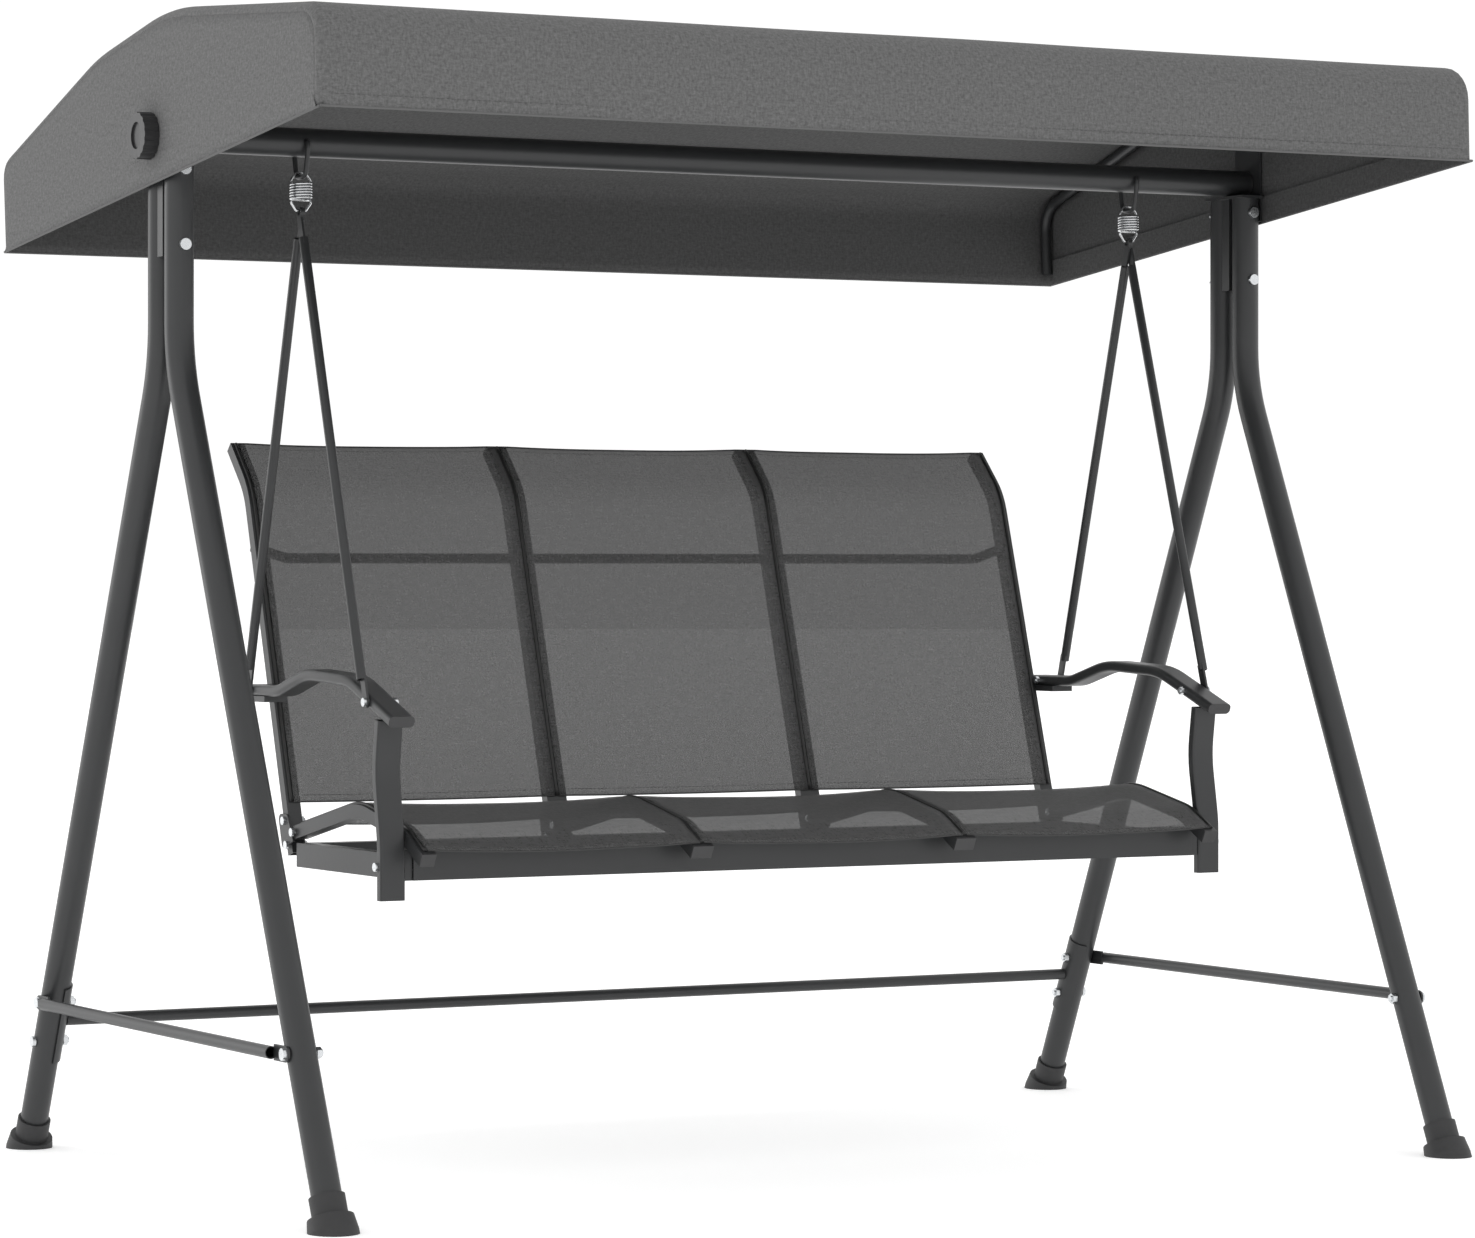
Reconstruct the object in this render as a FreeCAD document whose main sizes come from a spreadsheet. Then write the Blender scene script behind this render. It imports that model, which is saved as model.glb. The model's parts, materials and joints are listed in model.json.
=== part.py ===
"""Three-seat garden swing with a tilting canopy: tube A-frames, hanger bar, sprung seat and sewn cover.

Millimetres.  The origin is on the ground at the middle of the swing: X runs along the seat to the
sitter's left, -Y is the open front, +Z is up.
"""
import FreeCAD
import Part
import math
import os
import re
import Sketcher

Vector = FreeCAD.Vector

# Every size that can be set by itself: alias, value, what it is.
SIZES = [
    ("leg_plane", 828.0, "centre plane of each A-frame, from the middle of the swing"),
    ("leg_diameter", 38.0, "outside of the leg tubes and of the hanger bar"),
    ("leg_wall", 1.5, "wall of the leg tubes and of the hanger bar"),
    ("leg_neck", 28.0, "legs' upright top run, from the middle plane"),
    ("leg_top", 1334.0, "height of the leg tops"),
    ("bend_height", 1066.0, "height where a leg turns outwards"),
    ("bend_radius", 240.0, "centreline radius of that bend"),
    ("foot_spread", 512.0, "leg axis on the ground, from the middle plane"),
    ("leg_end_lift", 15.0, "leg tube's end above the ground, inside its boot"),
    ("boot_radius", 32.0, "boot's flare at the ground"),
    ("boot_top_radius", 29.0, "top of the flare"),
    ("boot_flare", 19.0, "height of the flare"),
    ("boot_sleeve_wall", 3.3, "wall of the sleeve around the leg"),
    ("boot_height", 46.0, "whole boot along the leg"),
    ("boot_fit", 0.2, "radial room between boot and leg"),
    ("bar_end_inset", 2.0, "hanger bar's end inside the legs' outer faces"),
    ("saddle_plate", 4.0, "plate under the bar, on the leg tops"),
    ("bracket_inset", 0.5, "bracket's plate inside the legs' outer faces"),
    ("tongue_fit", 0.2, "room each side of the tongue between two legs"),
    ("tongue_width", 30.0, "tongue between the legs, along the bar"),
    ("tongue_length", 132.0, "length of that tongue below the leg tops"),
    ("upper_bolt_drop", 21.0, "upper bolt through both legs, below the leg tops"),
    ("lower_bolt_drop", 118.0, "lower bolt through both legs, below the leg tops"),
    ("frame_bolt", 8.0, "shank of the frame's bolts"),
    ("seat_bolt", 6.0, "shank of the seat's bolts"),
    ("bolt_fit", 0.2, "radial room round every bolt"),
    ("plug_depth", 28.0, "threaded plug in each end of the bar"),
    ("plug_flange", 3.0, "plug's flange outside the bar"),
    ("brace_diameter", 16.0, "side braces and rear stretcher"),
    ("brace_wall", 1.2, "their wall"),
    ("brace_height", 208.0, "side braces' axis and their bolts"),
    ("brace_flat", 3.0, "thickness of a flattened tube end"),
    ("brace_flat_length", 34.0, "flattened length from the bolt inwards"),
    ("flat_end_radius", 10.0, "rounded end of a flattened tube"),
    ("stretcher_height", 182.0, "rear stretcher's axis"),
    ("stretcher_bolt", 153.0, "lower bolt of the stretcher's saddle"),
    ("saddle_length", 115.0, "curved saddle along the rear leg"),
    ("saddle_wall", 2.5, "saddle's thickness"),
    ("hook_plane", 645.0, "swing hooks, springs and hanger rods"),
    ("hook_wire", 6.5, "hook wire"),
    ("hook_drop", 45.0, "bar's axis to the centre of the hook's lowest wire"),
    ("hook_bottom_radius", 11.0, "centreline radius of the hook's lower bend"),
    ("hook_face_gap", 0.4, "room between a hook's wire and the bar's face"),
    ("hook_flare", 4.0, "how much wider than its lower bend a hook's foot is, each side"),
    ("hook_shoulder", 8.0, "straight wire below the bar's axis; the bend there has twice its radius"),
    ("spring_wire", 3.4, "spring wire, close-wound"),
    ("spring_radius", 13.5, "centreline radius of the spring's coils"),
    ("spring_rise", 13.5, "coils' top to the centre of the upper loop's wire"),
    ("spring_pitch", 3.6, "rise of one coil"),
    ("spring_lead", 3.0, "straight wire between the coils and each end loop"),
    ("spring_turns", 6.0, "number of coils"),
    ("spring_eye_drop", 14.5, "coils' bottom to the centre of the lower loop's wire"),
    ("link_gap", 0.6, "room between wires that hang in each other"),
    ("rod_diameter", 12.7, "hanger rods"),
    ("rod_wall", 1.5, "their wall"),
    ("rod_split_drop", 8.0, "rods' eye to where front and rear rod part"),
    ("rod_round_gap", 3.1, "room between a side's two round rods at their tops"),
    ("rod_flat_length", 30.0, "flattened lower end, from the bolt"),
    ("rod_flat", 3.0, "thickness of the rods' flattened ends"),
    ("rod_flat_gap", 0.2, "room between the two flattened tops"),
    ("rod_arm_gap", 0.3, "room between a rod's foot and the arm"),
    ("rod_eye", 4.2, "radius of the hole in a rod's top"),
    ("front_rod_y", -200.0, "front rod's bolt"),
    ("front_rod_z", 629.0, "front rod's bolt height"),
    ("rear_rod_inset", 22.0, "rear rod's bolt in front of the arm's rear end"),
    ("arm_plane", 622.5, "centre of each arm"),
    ("arm_width", 36.0, "arm across"),
    ("arm_thickness", 15.0, "arm's flat oval section"),
    ("arm_wall", 1.5, "its wall"),
    ("arm_bracket_length", 60.0, "bracket under the arm, front to back"),
    ("arm_bracket_depth", 8.0, "its thickness"),
    ("arm_rear_reach", 4.42, "arm's rear end behind the back rails' axis"),
    ("arm_rear_z", 636.5, "arm's rear height"),
    ("arm_front_y", -262.0, "arm's front end"),
    ("arm_front_z", 606.0, "arm's front height"),
    ("arm_rise_y", 100.0, "where the arm starts to rise"),
    ("arm_rise_radius", 120.0, "its bend there"),
    ("arm_crest_y", 5.0, "top of the arm"),
    ("arm_crest_rise", 24.5, "its height above the arm's rear end"),
    ("arm_crest_radius", 180.0, "its bend there"),
    ("arm_fall_y", -130.0, "where the arm starts to fall"),
    ("arm_fall_rise", 18.5, "its height above the arm's rear end"),
    ("arm_fall_radius", 160.0, "its bend there"),
    ("arm_rounding", 0.42, "rounding of the arm's edges, as a share of its thickness"),
    ("post_width", 35.0, "front post across"),
    ("post_thickness", 14.0, "front post front to back"),
    ("post_y", -232.0, "front post's lower run"),
    ("post_bottom", 377.0, "its lower end"),
    ("post_top", 606.5, "its upper end, under the arm"),
    ("post_straight", 73.0, "post's straight lower run"),
    ("post_bow", 16.0, "how far the post bows backwards"),
    ("post_bow_height", 163.0, "height of that bow above the post's lower end"),
    ("post_top_back", 6.0, "post's top behind its lower run"),
    ("post_bend_radius", 150.0, "its two bends"),
    ("post_bolt_back", 12.5, "post's bolt behind the front beam's face"),
    ("post_bolt_rise", 18.0, "post's bolt above the beams' underside"),
    ("beam_front", -239.0, "front face of the front beam"),
    ("beam_depth", 25.0, "front beam front to back"),
    ("beam_bottom", 402.0, "underside of the seat's beams"),
    ("front_beam_height", 39.0, "front beam's section height"),
    ("side_beam_height", 32.0, "side and rear beams' section height"),
    ("side_beam_width", 20.0, "side beams across"),
    ("beam_wall", 1.5, "beams' wall"),
    ("front_beam_half", 594.0, "front beam's end"),
    ("side_beam_rear", 110.0, "side beams' rear end"),
    ("outer_rail_plane", 594.0, "outer sling rails"),
    ("inner_rail_plane", 200.0, "inner sling rails"),
    ("outer_rail_width", 20.0, "outer rails across"),
    ("inner_rail_width", 30.0, "inner rails across, two sling edges wide"),
    ("seat_rail_height", 18.0, "seat rails' section height"),
    ("back_rail_depth", 16.0, "back rails' section depth"),
    ("rail_wall", 1.5, "rails' wall"),
    ("seat_rear_y", 118.0, "seat rails' rear end"),
    ("seat_rear_z", 447.0, "their height there, from which their rises are taken"),
    ("seat_crest_y", -85.0, "highest point of the seat rails"),
    ("seat_crest_rise", 40.0, "its rise"),
    ("seat_edge_y", -225.0, "where the rails turn down at the front"),
    ("seat_edge_rise", 12.5, "its rise"),
    ("seat_front_y", -280.0, "seat rails' front end"),
    ("seat_front_z", 431.0, "its height"),
    ("seat_crest_radius", 150.0, "seat rails' bend at the crest"),
    ("seat_edge_radius", 80.0, "their bend at the front"),
    ("back_lean", 17.2, "back rails' lean from upright, degrees"),
    ("back_foot_z", 418.0, "back rails' lower end"),
    ("back_foot_y", 127.94, "back rails' lower end, front to back"),
    ("back_bend_z", 906.0, "height where the back rails turn backwards"),
    ("back_top_run", 57.0, "from that bend to the rails' upper end, front to back"),
    ("back_top_z", 964.0, "its height"),
    ("back_bend_radius", 100.0, "back rails' bend"),
    ("cross_tube_z", 818.0, "tube behind the back"),
    ("cross_tube_diameter", 14.0, "that tube"),
    ("cross_tube_lift", 16.0, "how far its ends turn up"),
    ("cross_tube_end", 48.0, "length of those ends"),
    ("cross_tube_radius", 40.0, "bend where they turn up"),
    ("sling_thickness", 1.6, "woven sling"),
    ("sling_gap", 0.4, "room between sling and rail"),
    ("sling_edge_gap", 3.0, "half the groove between two slings"),
    ("back_sling_bottom", 487.0, "lower edge of the back slings"),
    ("seat_sling_rear_y", 104.0, "rear edge of the seat slings"),
    ("cap_thickness", 3.0, "moulded end caps"),
    ("bracket_plate", 3.0, "plates that join seat and back rails"),
    ("cover_side_gap", 0.9, "room between the side strips and the cover's end panels"),
    ("cover_thickness", 2.5, "cover cloth with its lining"),
    ("cover_front_y", -534.0, "front valance's lower edge"),
    ("cover_front_rise", -3.0, "its height above the pivot"),
    ("cover_brow_y", -530.0, "front corner of the roof"),
    ("cover_brow_rise", 123.0, "its height above the pivot"),
    ("cover_brow_radius", 48.0, "its rounding"),
    ("cover_ridge_y", -50.0, "ridge of the roof"),
    ("cover_ridge_rise", 162.0, "its height above the pivot, before rounding"),
    ("cover_ridge_radius", 600.0, "its rounding"),
    ("cover_hip_y", 198.0, "where the roof steepens"),
    ("cover_hip_rise", 121.0, "its height above the pivot"),
    ("cover_hip_radius", 500.0, "its rounding"),
    ("cover_eave_y", 552.0, "rear corner of the roof"),
    ("cover_eave_rise", 5.0, "its height above the pivot"),
    ("cover_eave_radius", 32.0, "its rounding"),
    ("cover_rear_y", 541.0, "rear valance's lower edge"),
    ("cover_rear_rise", -120.0, "its height above the pivot"),
    ("bow_diameter", 16.0, "canopy's frame tubes"),
    ("bow_wall", 1.2, "their wall"),
    ("bow_side_gap", 2.0, "room between an end bow and the cover's end panel"),
    ("bow_inset", 11.5, "bow's axis inside the cover's outline"),
    ("bow_eave_radius", 45.0, "bow's bend at the rear corner of the roof"),
    ("rear_bar_reach", 150.0, "rear bar in front of the roof's rear corner"),
    ("strip_thickness", 1.7, "canopy's flat side strips"),
    ("strip_depth", 30.0, "lower strip's depth"),
    ("strip_gap", 1.7, "room between the legs and the strips"),
    ("pivot_plate_width", 64.0, "upright pivot plate, front to back"),
    ("pivot_plate_middle", -4.0, "its middle, front to back"),
    ("pivot_fit", 0.05, "radial room of the knob's stud in the pivot plate"),
    ("knob_radius", 30.5, "clamping knob"),
    ("knob_length", 20.0, "knob outside the cover"),
    ("knob_stud", 4.0, "radius of the knob's stud"),
    ("knob_scallop", 5.0, "radius of a finger scallop"),
    ("knob_dish_radius", 17.5, "dish in the knob's face"),
    ("knob_dish_depth", 3.0, "its depth"),
    ("knob_gap", 0.6, "room between knob and cover"),
]

WORD = re.compile(r"[a-z][a-z_]*")
MATHS = {"sin", "cos", "tan", "atan", "sqrt"}
SIDES = [("left", -1), ("right", 1)]

doc = FreeCAD.newDocument("garden_swing")
sheet = doc.addObject("Spreadsheet::Sheet", "Sizes")
for row, (alias, value, meaning) in enumerate(SIZES, start=1):
    sheet.set(f"A{row}", alias)
    sheet.set(f"B{row}", str(value))
    sheet.set(f"C{row}", meaning)
    sheet.setAlias(f"B{row}", alias)
doc.recompute()

gauge = doc.addObject("App::FeaturePython", "Gauge")
gauge.addProperty("App::PropertyFloat", "Value")

nodes = {}


# ---------------------------------------------------------------- working with the sheet

def bound(text):
    """An expression in plain size names, written for the sheet."""
    return WORD.sub(lambda m: m.group() if m.group() in MATHS else "Sizes." + m.group(), text)


def number(text):
    """What an expression comes to now, for placing geometry before it is tied."""
    gauge.setExpression("Value", bound(text))
    gauge.recompute()
    return gauge.Value


def tie(thing, **properties):
    """Tie an object's sizes to the sheet: Height='leg_diameter / 2'; double underscores are dots."""
    for name, text in properties.items():
        thing.setExpression(name.replace("__", "."), bound(text))
    return thing


def keep(thing, label):
    """Register a finished object as the sub-part of that name."""
    thing.Label = label
    nodes[label] = thing
    return thing


def place(thing, x="0", y="0", z="0", axis=Vector(0, 0, 1), turn=None):
    """Put an object where the sheet says, turned about one axis."""
    thing.Placement = FreeCAD.Placement(Vector(), FreeCAD.Rotation(axis, 30 if turn else 0))
    tie(thing, Placement__Base__x=x, Placement__Base__y=y, Placement__Base__z=z)
    if turn:
        tie(thing, Placement__Rotation__Angle=turn)
    return thing


# ---------------------------------------------------------------- sketches and features

def new_body():
    return doc.addObject("PartDesign::Body", "Body")


def new_sketch(body, role, offset=None):
    """A sketch on one of the body's own origin planes, moved along that plane's normal."""
    sketch = body.newObject("Sketcher::SketchObject", "Sketch")
    plane = [p for p in body.Origin.OriginFeatures if p.Role == role][0]
    sketch.AttachmentSupport = (plane, "")
    sketch.MapMode = "FlatFace"
    if offset:
        tie(sketch, AttachmentOffset__Base__z=offset)
    return sketch


def tie_point(sketch, geometry, end, x, y):
    """Fix one point of a sketch at two sheet expressions."""
    for kind, text, axis in (("DistanceX", x, -2), ("DistanceY", y, -1)):
        if text == "0":
            sketch.addConstraint(Sketcher.Constraint("PointOnObject", geometry, end, axis))
            continue
        made = sketch.addConstraint(Sketcher.Constraint(kind, -1, 1, geometry, end, number(text)))
        sketch.setExpression(f"Constraints[{made}]", bound(text))


def tie_radius(sketch, geometry, text):
    made = sketch.addConstraint(Sketcher.Constraint("Radius", geometry, number(text)))
    sketch.setExpression(f"Constraints[{made}]", bound(text))


def draw(sketch, corners, closed=True):
    """Straight runs through corners (x, y, radius or None), each rounded corner a tangent arc."""
    points = [Vector(number(x), number(y), 0) for x, y, r in corners]
    count = len(points)
    arrive, leave, bends = list(points), list(points), {}
    for i, (x, y, radius) in enumerate(corners):
        if not radius:
            continue
        back = (points[i - 1] - points[i]).normalize()
        ahead = (points[(i + 1) % count] - points[i]).normalize()
        half = back.getAngle(ahead) / 2
        size = number(radius)
        arrive[i] = points[i] + back * (size / math.tan(half))
        leave[i] = points[i] + ahead * (size / math.tan(half))
        inward = (back + ahead).normalize()
        middle = points[i] + inward * (size / math.sin(half) - size)
        bends[i] = Part.Arc(arrive[i], middle, leave[i])
    runs = count if closed else count - 1
    lines = []
    for i in range(runs):
        lines.append(sketch.addGeometry(Part.LineSegment(leave[i], arrive[(i + 1) % count]), False))
    for i, (x, y, radius) in enumerate(corners):
        before = lines[i - 1] if closed or i > 0 else None
        after = lines[i] if i < runs else None
        if i not in bends:
            if before is not None and after is not None:
                sketch.addConstraint(Sketcher.Constraint("Coincident", before, 2, after, 1))
            if after is not None:
                tie_point(sketch, after, 1, x, y)
            else:
                tie_point(sketch, before, 2, x, y)
            continue
        corner = sketch.addGeometry(Part.Point(points[i]), True)
        tie_point(sketch, corner, 1, x, y)
        arc = sketch.addGeometry(bends[i], False)
        starts_here = sketch.getPoint(arc, 1).distanceToPoint(arrive[i]) < 1e-6
        first, last = (1, 2) if starts_here else (2, 1)
        sketch.addConstraint(Sketcher.Constraint("Tangent", before, 2, arc, first))
        sketch.addConstraint(Sketcher.Constraint("Tangent", arc, last, after, 1))
        sketch.addConstraint(Sketcher.Constraint("PointOnObject", corner, 1, before))
        sketch.addConstraint(Sketcher.Constraint("PointOnObject", corner, 1, after))
        tie_radius(sketch, arc, radius)
    return sketch


def ring(sketch, x, y, *radii):
    """Concentric circles at one tied centre."""
    for radius in radii:
        centre = Vector(number(x), number(y), 0)
        circle = sketch.addGeometry(Part.Circle(centre, Vector(0, 0, 1), number(radius)), False)
        tie_point(sketch, circle, 3, x, y)
        tie_radius(sketch, circle, radius)
    return sketch


def rectangle(sketch, left, right, bottom, top, radius=None):
    """A tied rectangle, with rounded corners where a radius is given."""
    return draw(sketch, [(left, bottom, radius), (right, bottom, radius),
                         (right, top, radius), (left, top, radius)])


def pad(body, sketch, length, symmetric=False):
    feature = body.newObject("PartDesign::Pad", "Pad")
    feature.Profile = (sketch, "")
    feature.SideType = "Symmetric" if symmetric else "One side"
    return tie(feature, Length=length)


def drill(body, role, x, y, radius):
    """A round hole right through the body, square to one of its origin planes."""
    sketch = new_sketch(body, role)
    ring(sketch, x, y, radius)
    feature = body.newObject("PartDesign::Pocket", "Drill")
    feature.Profile = (sketch, "")
    feature.SideType = "Symmetric"
    feature.Type = "ThroughAll"
    return feature


def cut_pocket(body, sketch, length):
    feature = body.newObject("PartDesign::Pocket", "Pocket")
    feature.Profile = (sketch, "")
    feature.SideType = "Symmetric"
    return tie(feature, Length=length)


def pipe(body, route, section):
    feature = body.newObject("PartDesign::AdditivePipe", "Pipe")
    feature.Profile = section
    feature.Spine = (route, [])
    return feature


def bent_tube(route_corners, outside, wall, role="YZ_Plane", offset=None):
    """A round tube (or rod, with no wall) along a flat route of runs and bends."""
    body = new_body()
    route = draw(new_sketch(body, role, offset), route_corners, closed=False)
    section = body.newObject("Sketcher::SketchObject", "Section")
    section.AttachmentSupport = (route, "Edge1")
    section.MapMode = "NormalToEdge"
    radii = [f"{outside} / 2"]
    if wall:
        radii.append(f"{outside} / 2 - {wall}")
    ring(section, "0", "0", *radii)
    doc.recompute()
    pipe(body, route, section)
    return body


def bent_bar(route_corners, plane, width, height, wall, round_by=None):
    """A rectangular tube along a route in a side plane, its section square to the first run."""
    body = new_body()
    route = draw(new_sketch(body, "YZ_Plane", plane), route_corners, closed=False)
    section = body.newObject("Sketcher::SketchObject", "Section")
    section.AttachmentSupport = (route, "Edge1")
    section.MapMode = "NormalToEdge"
    outlines = [("0", round_by)]
    if wall:
        outlines.append((wall, f"{round_by} - {wall}" if round_by else None))
    for inset, radius in outlines:
        half_w = f"{width} / 2 - {inset}"
        half_h = f"{height} / 2 - {inset}"
        rectangle(section, f"-({half_w})", half_w, f"-({half_h})", half_h, radius)
    doc.recompute()
    pipe(body, route, section)
    return body


def straight_tube(outside, wall, half_length, y, z):
    """A round tube along X, centred on the middle plane."""
    body = new_body()
    section = ring(new_sketch(body, "YZ_Plane"), y, z, f"{outside} / 2", f"{outside} / 2 - {wall}")
    pad(body, section, f"2 * {half_length}", symmetric=True)
    return body


def box(x1, x2, y1, y2, z1, z2):
    """A block between six tied faces."""
    block = doc.addObject("Part::Box", "Block")
    tie(block, Length=f"({x2}) - ({x1})", Width=f"({y2}) - ({y1})", Height=f"({z2}) - ({z1})")
    return place(block, x1, y1, z1)


def group(label, pieces):
    """Separate solids that share one node."""
    made = doc.addObject("Part::Compound", "Group")
    made.Links = pieces
    return keep(made, label)


def cut(base, tool):
    made = doc.addObject("Part::Cut", "Cut")
    made.Base = base
    made.Tool = tool
    return made


def fuse(*pieces):
    made = doc.addObject("Part::MultiFuse", "Fuse")
    made.Shapes = list(pieces)
    return made


def mirrored(side, text):
    """The same expression on the left or the right of the swing."""
    return text if side > 0 else f"-({text})"


# Places that several pieces share.
LEG_SLOPE = "(foot_spread - leg_neck) / bend_height"
BAR = "(leg_top + saddle_plate + leg_diameter / 2)"
BAR_END = "(leg_plane + leg_diameter / 2 - bar_end_inset)"
LEG_FACE = "(leg_plane + leg_diameter / 2)"
BRACE_BOLT = f"(foot_spread - brace_height * {LEG_SLOPE})"
STRETCHER_BOLT = f"(foot_spread - stretcher_bolt * {LEG_SLOPE})"
STRETCHER_Y = f"(foot_spread - stretcher_height * {LEG_SLOPE})"
HOOK_LOW = f"({BAR} - hook_drop)"
SPRING_TOP = f"({HOOK_LOW} + hook_wire / 2 + spring_wire / 2 + link_gap)"
COIL_TOP = f"({SPRING_TOP} - spring_rise)"
COIL_BOTTOM = f"({COIL_TOP} - spring_pitch * spring_turns)"
SPRING_LOW = f"({COIL_BOTTOM} - spring_eye_drop)"
ROD_EYE = f"({SPRING_LOW} + spring_wire / 2 + link_gap - rod_eye)"
ROD_SPLIT = f"({ROD_EYE} - rod_split_drop)"
ARM_FACE = "(arm_plane + arm_width / 2)"
BACK_BEND_Y = "(back_foot_y + (back_bend_z - back_foot_z) * tan(back_lean))"
BACK_TOP_Y = f"({BACK_BEND_Y} + back_top_run)"
ARM_REAR_Y = "(back_foot_y + (arm_rear_z - back_foot_z) * tan(back_lean) + arm_rear_reach)"
REAR_ROD_Y = f"({ARM_REAR_Y} - rear_rod_inset)"
# How far below the split the two round rods of a side have parted by their diameter and their room.
ROD_ROUND_DROP = (f"((rod_diameter + rod_round_gap) / ({REAR_ROD_Y} / ({ROD_SPLIT} - arm_rear_z)"
                  f" - front_rod_y / ({ROD_SPLIT} - front_rod_z)))")
COVER_INSIDE = f"({LEG_FACE} + strip_gap + 2 * strip_thickness + cover_side_gap)"
BOW_PLANE = f"({COVER_INSIDE} - bow_side_gap - bow_diameter / 2)"
ROOF_FALL = "((cover_hip_rise - cover_eave_rise) / (cover_eave_y - cover_hip_y))"
REAR_BAR_Z = f"({BAR} + cover_eave_rise + rear_bar_reach * {ROOF_FALL} - bow_inset / cos(atan({ROOF_FALL})))"

POST_BOLT_Y = "(beam_front + post_bolt_back)"
POST_BOLT_Z = "(beam_bottom + post_bolt_rise)"
SEAT_CREST_Z = "(seat_rear_z + seat_crest_rise)"
SEAT_EDGE_Z = "(seat_rear_z + seat_edge_rise)"
SEAT_REAR_LINE = ("(seat_rear_z + (seat_rear_y - seat_sling_rear_y) * seat_crest_rise"
                  " / (seat_rear_y - seat_crest_y))")
ROD_BOLTS = [("front_rod_y", "front_rod_z"), (REAR_ROD_Y, "arm_rear_z")]
RAILS = [("outer_rail_plane", -1, "outer_rail_width"), ("inner_rail_plane", -1, "inner_rail_width"),
         ("inner_rail_plane", 1, "inner_rail_width"), ("outer_rail_plane", 1, "outer_rail_width")]
REAR_BOLTS = [("seat_rear_y - 5", "seat_rear_z + 1"),
              ("back_foot_y + 4", "back_foot_z + 12"),
              ("back_foot_y + 44 * tan(back_lean)", "back_foot_z + 44")]
SCALLOPS = 16
LOOP_SHOULDER = 1.3
LOOP_FOOT = 0.6
LOOP_BENDS = (0.7, 0.9, 1.0, 1.0, 0.9)

X_OUT = {1: Vector(0, 1, 0), -1: Vector(0, -1, 0)}
TOWARDS_REAR = Vector(-1, 0, 0)
TOWARDS_FRONT = Vector(1, 0, 0)


# ---------------------------------------------------------------- fasteners

def cylinder(radius, height, z="0"):
    made = tie(doc.addObject("Part::Cylinder", "Rod"), Radius=radius, Height=height)
    return place(made, z=z)


def bolt(shank, grip, x, y, z, axis):
    """A round-headed bolt from its head's seat along the turned Z axis, and its nut."""
    head = cylinder(f"{shank} * 0.95", f"{shank} * 0.6", f"-({shank} * 0.6)")
    shaft = cylinder(f"{shank} / 2", f"{grip} + {shank} * 1.1")
    hexagon = tie(doc.addObject("Part::Prism", "Hexagon"), Circumradius=f"{shank} * 0.92",
                  Height=f"{shank} * 0.8")
    hexagon.Polygon = 6
    place(hexagon, z=grip)
    thread = cylinder(f"{shank} / 2", f"{grip} + {shank} * 2")
    screw = place(fuse(head, shaft), x, y, z, axis, "90")
    nut = place(cut(hexagon, thread), x, y, z, axis, "90")
    return screw, nut


# ---------------------------------------------------------------- A-frames

def make_legs():
    for side_name, side in SIDES:
        for end_name, end in (("front", -1), ("rear", 1)):
            foot_y = f"foot_spread - leg_end_lift * {LEG_SLOPE}"
            route = [(mirrored(end, "leg_neck"), "leg_top", None),
                     (mirrored(end, "leg_neck"), "bend_height", "bend_radius"),
                     (mirrored(end, foot_y), "leg_end_lift", None)]
            leg = bent_tube(route, "leg_diameter", "leg_wall", offset=mirrored(side, "leg_plane"))
            for drop in ("upper_bolt_drop", "lower_bolt_drop"):
                drill(leg, "XZ_Plane", mirrored(side, "leg_plane"), f"leg_top - {drop}",
                      "frame_bolt / 2 + bolt_fit")
            drill(leg, "YZ_Plane", mirrored(end, BRACE_BOLT), "brace_height",
                  "frame_bolt / 2 + bolt_fit")
            if end > 0:
                drill(leg, "YZ_Plane", STRETCHER_BOLT, "stretcher_bolt",
                      "frame_bolt / 2 + bolt_fit")
            keep(leg, f"leg_{end_name}_{side_name}")


def make_boots():
    """Moulded boots turned about each leg's axis and cut off level with the ground."""
    for side_name, side in SIDES:
        for end_name, end in (("front", -1), ("rear", 1)):
            body = new_body()
            bore = "leg_diameter / 2 + boot_fit"
            sleeve = f"{bore} + boot_sleeve_wall"
            floor = "leg_end_lift - boot_fit"
            outline = [("0", "-boot_flare", None), ("boot_radius", "-boot_flare", None),
                       ("boot_radius", "0", None), ("boot_top_radius", "boot_flare", None),
                       (sleeve, "boot_flare", None), (sleeve, "boot_height", None),
                       (bore, "boot_height", None),
                       (bore, floor, None), ("0", floor, None)]
            profile = draw(new_sketch(body, "XZ_Plane"), outline)
            turned = body.newObject("PartDesign::Revolution", "Turned")
            turned.Profile = (profile, "")
            turned.ReferenceAxis = (profile, ["V_Axis"])
            turned.Angle = 360.0
            axis = TOWARDS_REAR if end < 0 else TOWARDS_FRONT
            place(body, mirrored(side, "leg_plane"), mirrored(end, "foot_spread"), "0", axis,
                  f"atan({LEG_SLOPE})")
            x = mirrored(side, "leg_plane")
            y = mirrored(end, "foot_spread")
            ground = box(f"{x} - 2 * boot_radius", f"{x} + 2 * boot_radius",
                         f"{y} - 2 * boot_radius", f"{y} + 2 * boot_radius",
                         "-2 * boot_radius", "0")
            keep(cut(body, ground), f"foot_{end_name}_{side_name}")


def make_hanger_bar():
    bar = straight_tube("leg_diameter", "leg_wall", BAR_END, "0", BAR)
    for side_name, side in SIDES:
        drill(bar, "XZ_Plane", mirrored(side, "hook_plane"), BAR, "hook_wire / 2 + bolt_fit")
    keep(bar, "hanger_bar")


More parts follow.
